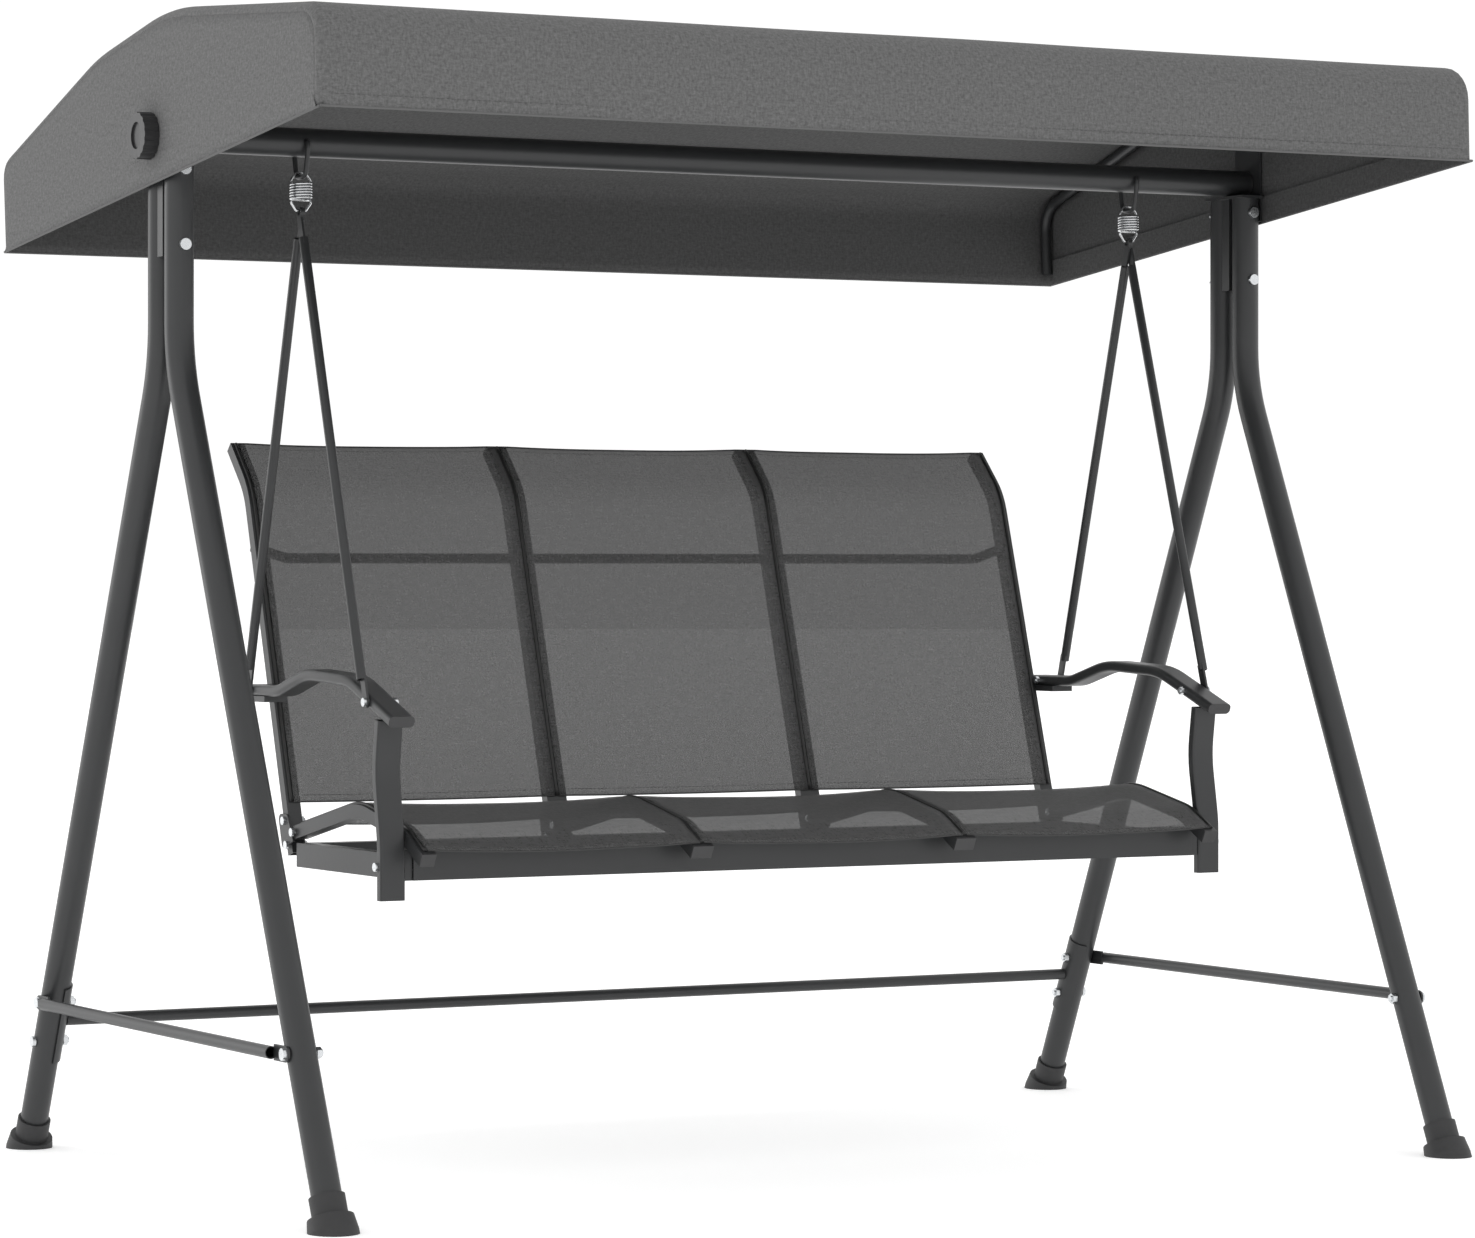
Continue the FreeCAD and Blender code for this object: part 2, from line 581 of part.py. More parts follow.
def make_bar_brackets():
    """Plate across both leg tops with a tongue that fills the slot between the legs."""
    made = []
    for side_name, side in SIDES:
        body = new_body()
        x = mirrored(side, "leg_plane")
        span = "leg_neck + leg_diameter / 2"
        half_plate = "(leg_diameter / 2 - bracket_inset)"
        plate = rectangle(new_sketch(body, "XY_Plane", "leg_top"), f"{x} - {half_plate}",
                          f"{x} + {half_plate}", f"-({span})", span)
        pad(body, plate, "saddle_plate")
        half = "leg_neck - leg_diameter / 2 - tongue_fit"
        tongue = rectangle(new_sketch(body, "XY_Plane", "leg_top - tongue_length"),
                           f"{x} - tongue_width / 2", f"{x} + tongue_width / 2", f"-({half})", half)
        pad(body, tongue, "tongue_length")
        for drop in ("upper_bolt_drop", "lower_bolt_drop"):
            drill(body, "XZ_Plane", x, f"leg_top - {drop}", "frame_bolt / 2 + bolt_fit")
        made.append(body)
    group("bar_brackets", made)


def make_bar_plugs():
    """Threaded inserts in the bar's ends, which take the clamping knobs' studs."""
    made = []
    for side_name, side in SIDES:
        body = new_body()
        outer = mirrored(side, f"{BAR_END} + plug_flange")
        inner = mirrored(side, f"{BAR_END} - plug_depth")
        seat = mirrored(side, BAR_END)
        bore = f"{BAR} + knob_stud + pivot_fit"
        profile = draw(new_sketch(body, "XZ_Plane"),
                       [(inner, bore, None), (outer, bore, None),
                        (outer, f"{BAR} + leg_diameter / 2", None),
                        (seat, f"{BAR} + leg_diameter / 2", None),
                        (seat, f"{BAR} + leg_diameter / 2 - leg_wall", None),
                        (inner, f"{BAR} + leg_diameter / 2 - leg_wall", None)])
        axis = profile.addGeometry(Part.LineSegment(Vector(-9, number(BAR), 0),
                                                    Vector(9, number(BAR), 0)), True)
        tie_point(profile, axis, 1, "-leg_diameter", BAR)
        tie_point(profile, axis, 2, "leg_diameter", BAR)
        turned = body.newObject("PartDesign::Revolution", "Turned")
        turned.Profile = (profile, "")
        turned.ReferenceAxis = (profile, ["Axis0"])
        turned.Angle = 360.0
        made.append(body)
    group("bar_plugs", made)


def make_side_braces():
    """Round tubes between front and rear leg, flattened and bolted at both ends."""
    made = []
    for side_name, side in SIDES:
        body = new_body()
        middle = mirrored(side, f"{LEG_FACE} + brace_diameter / 2")
        run = f"{BRACE_BOLT} - brace_flat_length + 4"
        rounds = ring(new_sketch(body, "XZ_Plane"), middle, "brace_height", "brace_diameter / 2",
                      "brace_diameter / 2 - brace_wall")
        pad(body, rounds, f"2 * ({run})", symmetric=True)
        for end in (-1, 1):
            face = f"{LEG_FACE} + brace_flat / 2"
            sketch = new_sketch(body, "YZ_Plane", mirrored(side, face))
            near = mirrored(end, f"{BRACE_BOLT} - brace_flat_length")
            far = mirrored(end, f"{BRACE_BOLT} + flat_end_radius")
            low = "brace_height - flat_end_radius"
            high = "brace_height + flat_end_radius"
            draw(sketch, [(near, low, None), (far, low, "flat_end_radius - 0.5"),
                          (far, high, "flat_end_radius - 0.5"), (near, high, None)])
            pad(body, sketch, "brace_flat", symmetric=True)
            drill(body, "YZ_Plane", mirrored(end, BRACE_BOLT), "brace_height",
                  "frame_bolt / 2 + bolt_fit")
        made.append(body)
    group("side_braces", made)


def make_stretcher():
    """Rear cross tube with a curved saddle on the inner side of each rear leg."""
    half = "leg_plane - leg_diameter / 2 - saddle_wall"
    keep(straight_tube("brace_diameter", "brace_wall", f"({half})", STRETCHER_Y, "stretcher_height"),
         "rear_stretcher")
    made = []
    for side_name, side in SIDES:
        body = new_body()
        wrap = ring(new_sketch(body, "XY_Plane"), "0", "0", "leg_diameter / 2 + saddle_wall",
                    "leg_diameter / 2")
        pad(body, wrap, "saddle_length", symmetric=True)
        reach = "leg_diameter"
        edge = "leg_diameter / 2 * 0.25"
        waste = new_sketch(body, "XY_Plane")
        rectangle(waste, mirrored(side, f"-({edge})"), mirrored(side, reach), f"-{reach}", reach)
        cut_pocket(body, waste, "saddle_length * 2")
        place(body, mirrored(side, "leg_plane"), STRETCHER_Y, "stretcher_height", TOWARDS_FRONT,
              f"atan({LEG_SLOPE})")
        holes = []
        for y, z in ((BRACE_BOLT, "brace_height"), (STRETCHER_BOLT, "stretcher_bolt")):
            hole = cylinder("frame_bolt / 2 + bolt_fit", "leg_diameter * 2")
            place(hole, mirrored(side, "leg_plane"), y, z, X_OUT[-side], "90")
            holes.append(hole)
        made.append(cut(body, fuse(*holes)))
    group("stretcher_saddles", made)


def make_frame_bolts():
    screws, nuts = [], []
    for side_name, side in SIDES:
        for drop in ("upper_bolt_drop", "lower_bolt_drop"):
            made = bolt("frame_bolt", "2 * (leg_neck + leg_diameter / 2)",
                        mirrored(side, "leg_plane"), "-(leg_neck + leg_diameter / 2)",
                        f"leg_top - {drop}", TOWARDS_REAR)
            screws.append(made[0])
            nuts.append(made[1])
    group("leg_top_bolts", screws)
    group("leg_top_nuts", nuts)
    screws, nuts = [], []
    for side_name, side in SIDES:
        head = mirrored(side, f"{LEG_FACE} + brace_flat")
        grip = "leg_diameter + brace_flat"
        for end in (-1, 1):
            hold = grip if end < 0 else f"{grip} + saddle_wall"
            made = bolt("frame_bolt", hold, head, mirrored(end, BRACE_BOLT), "brace_height",
                        X_OUT[-side])
            screws.append(made[0])
            nuts.append(made[1])
        made = bolt("frame_bolt", "leg_diameter + saddle_wall", mirrored(side, LEG_FACE),
                    STRETCHER_BOLT, "stretcher_bolt", X_OUT[-side])
        screws.append(made[0])
        nuts.append(made[1])
    group("brace_bolts", screws)
    group("brace_nuts", nuts)


# ---------------------------------------------------------------- hooks, springs, rods

def make_hooks():
    """Wire hooks whose two ends turn into the bar's front and rear faces."""
    made = []
    for side_name, side in SIDES:
        reach = "leg_diameter / 2 + hook_wire / 2 + hook_face_gap"
        half = "hook_bottom_radius + hook_flare"
        tip = "leg_diameter / 2 - leg_wall - 2"
        route = [(f"-({tip})", BAR, None), (f"-({reach})", BAR, "hook_wire * 0.52"),
                 (f"-({reach})", f"{BAR} - hook_shoulder", "2 * hook_shoulder"),
                 (f"-({half})", HOOK_LOW, "hook_bottom_radius"),
                 (half, HOOK_LOW, "hook_bottom_radius"),
                 (reach, f"{BAR} - hook_shoulder", "2 * hook_shoulder"),
                 (reach, BAR, "hook_wire * 0.52"), (tip, BAR, None)]
        made.append(bent_tube(route, "hook_wire", None, offset=mirrored(side, "hook_plane")))
    group("swing_hooks", made)


def rounded_run(corners, radii):
    """Straight edges through 3-D corners, every inner corner rounded to its own radius."""
    edges, here = [], corners[0]
    for i, radius in enumerate(radii, start=1):
        back = (corners[i - 1] - corners[i]).normalize()
        ahead = (corners[i + 1] - corners[i]).normalize()
        half = back.getAngle(ahead) / 2
        arrive = corners[i] + back * (radius / math.tan(half))
        leave = corners[i] + ahead * (radius / math.tan(half))
        middle = corners[i] + (back + ahead).normalize() * (radius / math.sin(half) - radius)
        edges.append(Part.makeLine(here, arrive))
        edges.append(Part.Arc(arrive, middle, leave).toShape())
        here = leave
    edges.append(Part.makeLine(here, corners[-1]))
    return edges


def end_loop(coil_end, tangent, away, tip):
    """The wire from a coil's end: along its tangent, over a narrow tip and down the far side."""
    wire = number("spring_wire")
    turn_out = coil_end + tangent * number("spring_lead")
    side, narrow = turn_out.x, number("spring_radius / 2")
    # The loop's two sides end past the coil by these shares of the wire's thickness.
    shoulder = turn_out.z + away * wire * LOOP_SHOULDER
    foot = turn_out.z + away * wire * LOOP_FOOT
    corners = [coil_end, turn_out, Vector(side, 0, shoulder), Vector(narrow, 0, tip),
               Vector(-narrow, 0, tip), Vector(-side, 0, shoulder), Vector(-side, 0, foot)]
    return rounded_run(corners, [wire * share for share in LOOP_BENDS])


def spring_shape():
    """A close-wound tension spring about its own Z axis: loop, coils and loop are one wire."""
    radius = number("spring_radius")
    wire = number("spring_wire / 2")
    pitch = number("spring_pitch")
    bottom, top = number(COIL_BOTTOM), number(COIL_TOP)
    # Each end turn stops short by this angle, so that its straight lead ends in the loops' plane.
    short = math.atan2(number("spring_lead"), radius)
    helix = Part.makeHelix(pitch, top - bottom - pitch * short / math.pi, radius)
    helix.rotate(Vector(), Vector(0, 0, 1), math.degrees(short))
    helix.translate(Vector(0, 0, bottom + pitch * short / (2 * math.pi)))
    rise = pitch / (2 * math.pi * radius)
    low_end = Vector(radius * math.cos(short), radius * math.sin(short),
                     bottom + pitch * short / (2 * math.pi))
    high_end = Vector(low_end.x, -low_end.y, top - pitch * short / (2 * math.pi))
    low_way = Vector(math.sin(short), -math.cos(short), -rise).normalize()
    high_way = Vector(math.sin(short), math.cos(short), rise).normalize()
    edges = (end_loop(low_end, low_way, -1, number(SPRING_LOW)) + helix.Edges
             + end_loop(high_end, high_way, 1, number(SPRING_TOP)))
    route = Part.Wire(Part.__sortEdges__(edges))
    first = route.OrderedEdges[0]
    section = Part.makeCircle(wire, first.valueAt(first.FirstParameter),
                              first.tangentAt(first.FirstParameter))
    spring = route.makePipeShell([Part.Wire(section)], True, True)
    expected = route.Length * math.pi * wire ** 2
    if len(spring.Solids) != 1 or abs(spring.Volume / expected - 1) > 0.01:
        raise RuntimeError(f"spring has {spring.Volume:.0f} mm3 of wire, not {expected:.0f}")
    return spring


def make_springs():
    made = []
    for side_name, side in SIDES:
        spring = doc.addObject("Part::Feature", "Spring")
        spring.Shape = spring_shape()
        made.append(place(spring, mirrored(side, "hook_plane")))
    group("suspension_springs", made)


def make_rod(side, y, z, outboard):
    """One hanger rod: round tube with a flattened foot and a flattened top with an eye."""
    rear = outboard < 0
    reach = f"({y})" if rear else f"(-({y}))"
    rise = f"({ROD_SPLIT} - {z})"
    lean = f"atan({reach} / {rise})"
    length = f"sqrt({reach} * {reach} + {rise} * {rise})"
    axis = TOWARDS_FRONT if rear else TOWARDS_REAR
    flat_end = "rod_diameter / 2 + 1"
    foot_middle = mirrored(side, f"{ARM_FACE} + rod_arm_gap + rod_flat / 2 - hook_plane")
    shift = "(rod_flat / 2 + rod_flat_gap / 2)"
    top_middle = mirrored(side * outboard, shift)
    end = f"({length} - {ROD_ROUND_DROP} / cos({lean}))"
    tube = cut(cylinder("rod_diameter / 2", f"{end} - rod_flat_length", "rod_flat_length"),
               cylinder("rod_diameter / 2 - rod_wall", end, "rod_flat_length - 1"))
    foot = box(f"{foot_middle} - rod_flat / 2", f"{foot_middle} + rod_flat / 2",
               "-rod_diameter / 2", "rod_diameter / 2", "0", "rod_flat_length + 8")
    pad_end = place(cylinder(flat_end, "rod_flat"), f"{foot_middle} - rod_flat / 2",
                    axis=X_OUT[1], turn="90")
    top = box(f"{top_middle} - rod_flat / 2", f"{top_middle} + rod_flat / 2",
              "-rod_diameter / 2", "rod_diameter / 2", f"{end} - 8", length)
    leaning = place(fuse(tube, foot, pad_end, top), mirrored(side, "hook_plane"), y, z, axis, lean)
    left = f"{mirrored(side, 'hook_plane')} + {top_middle} - rod_flat / 2"
    right = f"{mirrored(side, 'hook_plane')} + {top_middle} + rod_flat / 2"
    upright = box(left, right, "-rod_diameter / 2", "rod_diameter / 2", f"{ROD_SPLIT} - 1", ROD_EYE)
    round_top = place(cylinder(flat_end, "rod_flat"), left, z=ROD_EYE, axis=X_OUT[1], turn="90")
    eye = place(cylinder("rod_eye", "rod_diameter"), f"{left} - rod_flat", z=ROD_EYE,
                axis=X_OUT[1], turn="90")
    hole = place(cylinder("seat_bolt / 2 + bolt_fit", "hook_plane"), "0", y, z,
                 X_OUT[side], "90")
    hole.setExpression("Height", bound("hook_plane + rod_diameter"))
    return cut(fuse(leaning, upright, round_top), fuse(eye, hole))


def make_rods():
    for side_name, side in SIDES:
        keep(make_rod(side, "front_rod_y", "front_rod_z", 1), f"hanger_rod_front_{side_name}")
        keep(make_rod(side, REAR_ROD_Y, "arm_rear_z", -1), f"hanger_rod_rear_{side_name}")


# ---------------------------------------------------------------- arms and seat frame

def make_arms():
    for side_name, side in SIDES:
        route = [(ARM_REAR_Y, "arm_rear_z", None),
                 ("arm_rise_y", "arm_rear_z", "arm_rise_radius"),
                 ("arm_crest_y", "arm_rear_z + arm_crest_rise", "arm_crest_radius"),
                 ("arm_fall_y", "arm_rear_z + arm_fall_rise", "arm_fall_radius"),
                 ("arm_front_y", "arm_front_z", None)]
        arm = bent_bar(route, mirrored(side, "arm_plane"), "arm_width", "arm_thickness",
                       "arm_wall", round_by="arm_thickness * arm_rounding")
        for y, z in ROD_BOLTS:
            drill(arm, "YZ_Plane", y, z, "seat_bolt / 2 + bolt_fit")
        keep(arm, f"arm_{side_name}")


def make_posts():
    """Flat tubes from the front beam's ends up to the arms, bowed backwards."""
    made = []
    for side_name, side in SIDES:
        route = [("post_y", "post_bottom", None),
                 ("post_y", "post_bottom + post_straight", "post_bend_radius"),
                 ("post_y + post_bow", "post_bottom + post_bow_height", "post_bend_radius"),
                 ("post_y + post_top_back", "post_top", None)]
        post = bent_bar(route, mirrored(side, "arm_plane"), "post_width", "post_thickness",
                        "beam_wall", round_by="post_thickness * 0.25")
        drill(post, "YZ_Plane", POST_BOLT_Y, POST_BOLT_Z, "seat_bolt / 2 + bolt_fit")
        made.append(post)
    group("front_posts", made)


def beam_section(sketch, left, right, bottom, top):
    rectangle(sketch, left, right, bottom, top)
    rectangle(sketch, f"{left} + beam_wall", f"{right} - beam_wall", f"{bottom} + beam_wall",
              f"{top} - beam_wall")
    return sketch


def make_beams():
    body = new_body()
    front = beam_section(new_sketch(body, "YZ_Plane"), "beam_front", "beam_front + beam_depth",
                         "beam_bottom", "beam_bottom + front_beam_height")
    pad(body, front, "2 * front_beam_half", symmetric=True)
    keep(body, "seat_front_beam")
    side_out = "(outer_rail_plane + outer_rail_width / 2 - 1)"
    body = new_body()
    rear = beam_section(new_sketch(body, "YZ_Plane"), "side_beam_rear - beam_depth",
                        "side_beam_rear", "beam_bottom", "beam_bottom + side_beam_height")
    pad(body, rear, f"2 * ({side_out} - side_beam_width)", symmetric=True)
    keep(body, "seat_rear_beam")
    made = []
    for side_name, side in SIDES:
        body = new_body()
        x = mirrored(side, f"{side_out} - side_beam_width / 2")
        sketch = new_sketch(body, "XZ_Plane", "-side_beam_rear")
        beam_section(sketch, f"{x} - side_beam_width / 2", f"{x} + side_beam_width / 2",
                     "beam_bottom", "beam_bottom + side_beam_height")
        pad(body, sketch, "side_beam_rear - beam_front - beam_depth")
        made.append(body)
    group("seat_side_beams", made)


def make_corner_brackets():
    """Blocks between the front beam's ends and the posts, and plates at the seat's rear corners."""
    made = []
    for side_name, side in SIDES:
        inner = "front_beam_half"
        outer = "(arm_plane - post_width / 2)"
        body = new_body()
        sketch = new_sketch(body, "YZ_Plane", mirrored(side, f"({inner} + {outer}) / 2"))
        rectangle(sketch, "beam_front + 3", "beam_front + beam_depth", "beam_bottom",
                  "beam_bottom + front_beam_height")
        pad(body, sketch, f"{outer} - {inner}", symmetric=True)
        drill(body, "YZ_Plane", POST_BOLT_Y, POST_BOLT_Z, "seat_bolt / 2 + bolt_fit")
        made.append(body)
    group("front_corner_brackets", made)
    made = []
    for x, side, width in RAILS:
        body = new_body()
        face = mirrored(side, f"{x} + {width} / 2 + bracket_plate / 2")
        sketch = new_sketch(body, "YZ_Plane", face)
        draw(sketch, [("seat_rear_y - 5", "seat_rear_z - 11", None),
                      ("seat_rear_y + 30", "seat_rear_z - 24", "8"),
                      ("seat_rear_y + 45", "seat_rear_z + 24", "8"),
                      ("seat_rear_y + 14", "seat_rear_z + 24", "8")])
        pad(body, sketch, "bracket_plate", symmetric=True)
        for y, z in REAR_BOLTS:
            drill(body, "YZ_Plane", y, z, "seat_bolt / 2 + bolt_fit")
        made.append(body)
    group("back_brackets", made)


def make_rails():
    """Sling rails of the seat and of the back: an outer and an inner pair of each."""
    seat_route = [("seat_rear_y", "seat_rear_z", None), ("seat_crest_y", SEAT_CREST_Z, "seat_crest_radius"),
                  ("seat_edge_y", SEAT_EDGE_Z, "seat_edge_radius"), ("seat_front_y", "seat_front_z", None)]
    back_route = [("back_foot_y", "back_foot_z", None),
                  (BACK_BEND_Y, "back_bend_z", "back_bend_radius"), (BACK_TOP_Y, "back_top_z", None)]
    caps = []
    for name in ("outer", "inner"):
        seat_pair, back_pair = [], []
        for x, side, width in RAILS:
            if name not in x:
                continue
            plane = mirrored(side, x)
            seat = bent_bar(seat_route, plane, width, "seat_rail_height", "rail_wall")
            drill(seat, "YZ_Plane", *REAR_BOLTS[0], "seat_bolt / 2 + bolt_fit")
            seat_pair.append(seat)
            back = bent_bar(back_route, plane, width, "back_rail_depth", "rail_wall")
            for y, z in REAR_BOLTS[1:]:
                drill(back, "YZ_Plane", y, z, "seat_bolt / 2 + bolt_fit")
            back_pair.append(back)
            caps.append(make_rail_cap(plane, width, "seat_front_y", "seat_front_z",
                                      "seat_edge_y", SEAT_EDGE_Z, "seat_rail_height"))
            caps.append(make_rail_cap(plane, width, BACK_TOP_Y, "back_top_z",
                                      BACK_BEND_Y, "back_bend_z", "back_rail_depth"))
        group(f"seat_rails_{name}", seat_pair)
        group(f"back_rails_{name}", back_pair)
    group("rail_caps", caps)


def make_rail_cap(plane, width, y, z, from_y, from_z, height):
    """A moulded cap flush on a rail's open end, square to the rail."""
    cap = doc.addObject("Part::Box", "Cap")
    tie(cap, Length=width, Width="cap_thickness", Height=height)
    run = f"sqrt(({y} - {from_y}) * ({y} - {from_y}) + ({z} - {from_z}) * ({z} - {from_z}))"
    along_y = f"(({y} - {from_y}) / {run})"
    along_z = f"(({z} - {from_z}) / {run})"
    # The block's own Y runs out along the rail, its own Z across the rail.
    turn = math.degrees(math.atan2(number(along_z), number(along_y)))
    cap.Placement = FreeCAD.Placement(Vector(), FreeCAD.Rotation(Vector(1, 0, 0), turn))
    tie(cap, Placement__Base__x=f"{plane} - {width} / 2",
        Placement__Base__y=f"{y} + {along_z} * {height} / 2",
        Placement__Base__z=f"{z} - {along_y} * {height} / 2")
    return cap


def make_cross_tube():
    """Tube behind the back rails, leaning with them, its ends turned up."""
    half = "(outer_rail_plane + 4)"
    lift = "cross_tube_lift"
    turn_up = f"({half} - cross_tube_end)"
    route = [(f"-{half}", lift, None), (f"-{turn_up}", "0", "cross_tube_radius"),
             (turn_up, "0", "cross_tube_radius"), (half, lift, None)]
    tube = bent_tube(route, "cross_tube_diameter", "brace_wall", role="XZ_Plane")
    off = "(back_rail_depth / 2 + cross_tube_diameter / 2 + 0.3)"
    y = (f"back_foot_y + (cross_tube_z - back_foot_z) * tan(back_lean)"
         f" + {off} * cos(back_lean)")
    place(tube, "0", y, f"cross_tube_z - {off} * sin(back_lean)", TOWARDS_REAR, "back_lean")
    keep(tube, "back_cross_tube")


def make_arm_caps():
    """Plugs in the arms' front and rear ends."""
    made = []
    droop = "atan((arm_rear_z + arm_fall_rise - arm_front_z) / (arm_fall_y - arm_front_y))"
    for side_name, side in SIDES:
        x = mirrored(side, "arm_plane")
        for y, z, turn in (("arm_front_y", "arm_front_z", droop), (ARM_REAR_Y, "arm_rear_z", None)):
            body = new_body()
            sketch = new_sketch(body, "XZ_Plane")
            rectangle(sketch, "-arm_width / 2", "arm_width / 2", "-arm_thickness / 2",
                      "arm_thickness / 2", "arm_thickness * arm_rounding")
            feature = pad(body, sketch, "cap_thickness")
            feature.Reversed = turn is None
            place(body, x, y, z, TOWARDS_FRONT, turn)
            made.append(body)
    group("arm_end_caps", made)


def make_arm_brackets():
    """Plates under the arms' rear ends, out from the back rails."""
    made = []
    for side_name, side in SIDES:
        x1 = mirrored(side, "(outer_rail_plane + outer_rail_width / 2)")
        x2 = mirrored(side, f"{ARM_FACE} - 3")
        low, high = (x1, x2) if side > 0 else (x2, x1)
        made.append(box(low, high, f"{ARM_REAR_Y} - 2 - arm_bracket_length", f"{ARM_REAR_Y} - 2",
                        "arm_rear_z - arm_thickness / 2 - arm_bracket_depth",
                        "arm_rear_z - arm_thickness / 2"))
    group("arm_brackets", made)


def make_seat_bolts():
    screws, nuts = [], []
    for side_name, side in SIDES:
        for y, z in ROD_BOLTS:
            made = bolt("seat_bolt", "arm_width + rod_arm_gap + rod_flat",
                        mirrored(side, f"{ARM_FACE} + rod_arm_gap + rod_flat"), y, z, X_OUT[-side])
            screws.append(made[0])
            nuts.append(made[1])
    group("rod_bolts", screws + nuts)
    screws, nuts = [], []
    for side_name, side in SIDES:
        made = bolt("seat_bolt", "arm_plane + post_width / 2 - front_beam_half",
                    mirrored(side, "arm_plane + post_width / 2"), POST_BOLT_Y, POST_BOLT_Z,
                    X_OUT[-side])
        screws += made
    for x, side, width in RAILS:
        for y, z in REAR_BOLTS:
            screws += bolt("seat_bolt", f"{width} + bracket_plate",
                           mirrored(side, f"{x} + {width} / 2 + bracket_plate"), y, z, X_OUT[-side])
    group("seat_bolts", screws)


# ---------------------------------------------------------------- slings

def make_slings():
    """Woven slings, three over the seat rails and three in front of the back rails."""
    lift = "(seat_rail_height / 2 + sling_gap + sling_thickness / 2)"
    out = "(back_rail_depth / 2 + sling_gap + sling_thickness / 2)"
    seat_route = [("seat_sling_rear_y", f"{SEAT_REAR_LINE} + {lift}", None),
                  ("seat_crest_y", f"{SEAT_CREST_Z} + {lift} * 1.02", f"seat_crest_radius + {lift}"),
                  (f"seat_edge_y - {lift} * 0.33", f"{SEAT_EDGE_Z} + {lift} * 0.96",
                   f"seat_edge_radius + {lift}"),
                  (f"seat_front_y + 3.5 - {lift} * 0.46", f"seat_front_z + 2 + {lift} * 0.9", None)]
    low_y = "back_foot_y + (back_sling_bottom - back_foot_z) * tan(back_lean)"
    back_route = [(f"{low_y} - {out} / cos(back_lean)", "back_sling_bottom", None),
                  (f"{BACK_BEND_Y} - {out} * 0.88", f"back_bend_z + {out} * 0.53",
                   f"back_bend_radius + {out}"),
                  (f"{BACK_TOP_Y} - {out} * 0.72", f"back_top_z + {out} * 0.72", None)]
    inner, outer = "inner_rail_plane", "outer_rail_plane"
    spans = [("left", f"-{outer}", f"-({inner} + sling_edge_gap)"),
             ("centre", f"-({inner} - sling_edge_gap)", f"{inner} - sling_edge_gap"),
             ("right", f"{inner} + sling_edge_gap", outer)]
    for name, x1, x2 in spans:
        middle, width = f"({x1} + ({x2})) / 2", f"({x2} - ({x1}))"
        for part, route in (("seat", seat_route), ("back", back_route)):
            sling = bent_bar(route, middle, width, "sling_thickness", None)
            keep(sling, f"{part}_sling_{name}")


# ---------------------------------------------------------------- canopy

COVER = [("cover_front_y", f"{BAR} + cover_front_rise", None),
         ("cover_brow_y", f"{BAR} + cover_brow_rise", "cover_brow_radius"),
         ("cover_ridge_y", f"{BAR} + cover_ridge_rise", "cover_ridge_radius"),
         ("cover_hip_y", f"{BAR} + cover_hip_rise", "cover_hip_radius"),
         ("cover_eave_y", f"{BAR} + cover_eave_rise", "cover_eave_radius"),
         ("cover_rear_y", f"{BAR} + cover_rear_rise", None)]


def inset_cover(depth, start_up, end_up):
    """The cover's side outline moved inwards by a depth, its two ends raised."""
    sink = [(depth, start_up), (f"({depth}) * 0.97", f"-({depth}) * 0.93"),
            (f"-({depth}) * 0.05", f"-({depth}) * 1.01"), (f"-({depth}) * 0.24", f"-({depth}) * 0.97"),
            (f"-({depth}) * 1.12", f"-({depth}) * 0.69"), (f"({end_up}) * 0.15 - ({depth})", end_up)]
    return [(f"{y} + ({dy})", f"{z} + ({dz})", f"{radius} - ({depth})" if radius else None)
            for (y, z, radius), (dy, dz) in zip(COVER, sink)]


def make_cover():
    """Sewn cover: one long panel over the roof with both valances, and two end panels."""
    route = inset_cover("cover_thickness / 2", "0", "0")
    top = bent_bar(route, "0", f"2 * ({COVER_INSIDE} - 0.1)", "cover_thickness", None)
    keep(top, "canopy_top_panel")
    for side_name, side in SIDES:
        body = new_body()
        sketch = new_sketch(body, "YZ_Plane", mirrored(side, f"{COVER_INSIDE} + cover_thickness / 2"))
        draw(sketch, COVER)
        pad(body, sketch, "cover_thickness", symmetric=True)
        drill(body, "YZ_Plane", "0", BAR, "knob_stud + 1")
        keep(body, f"canopy_end_panel_{side_name}")


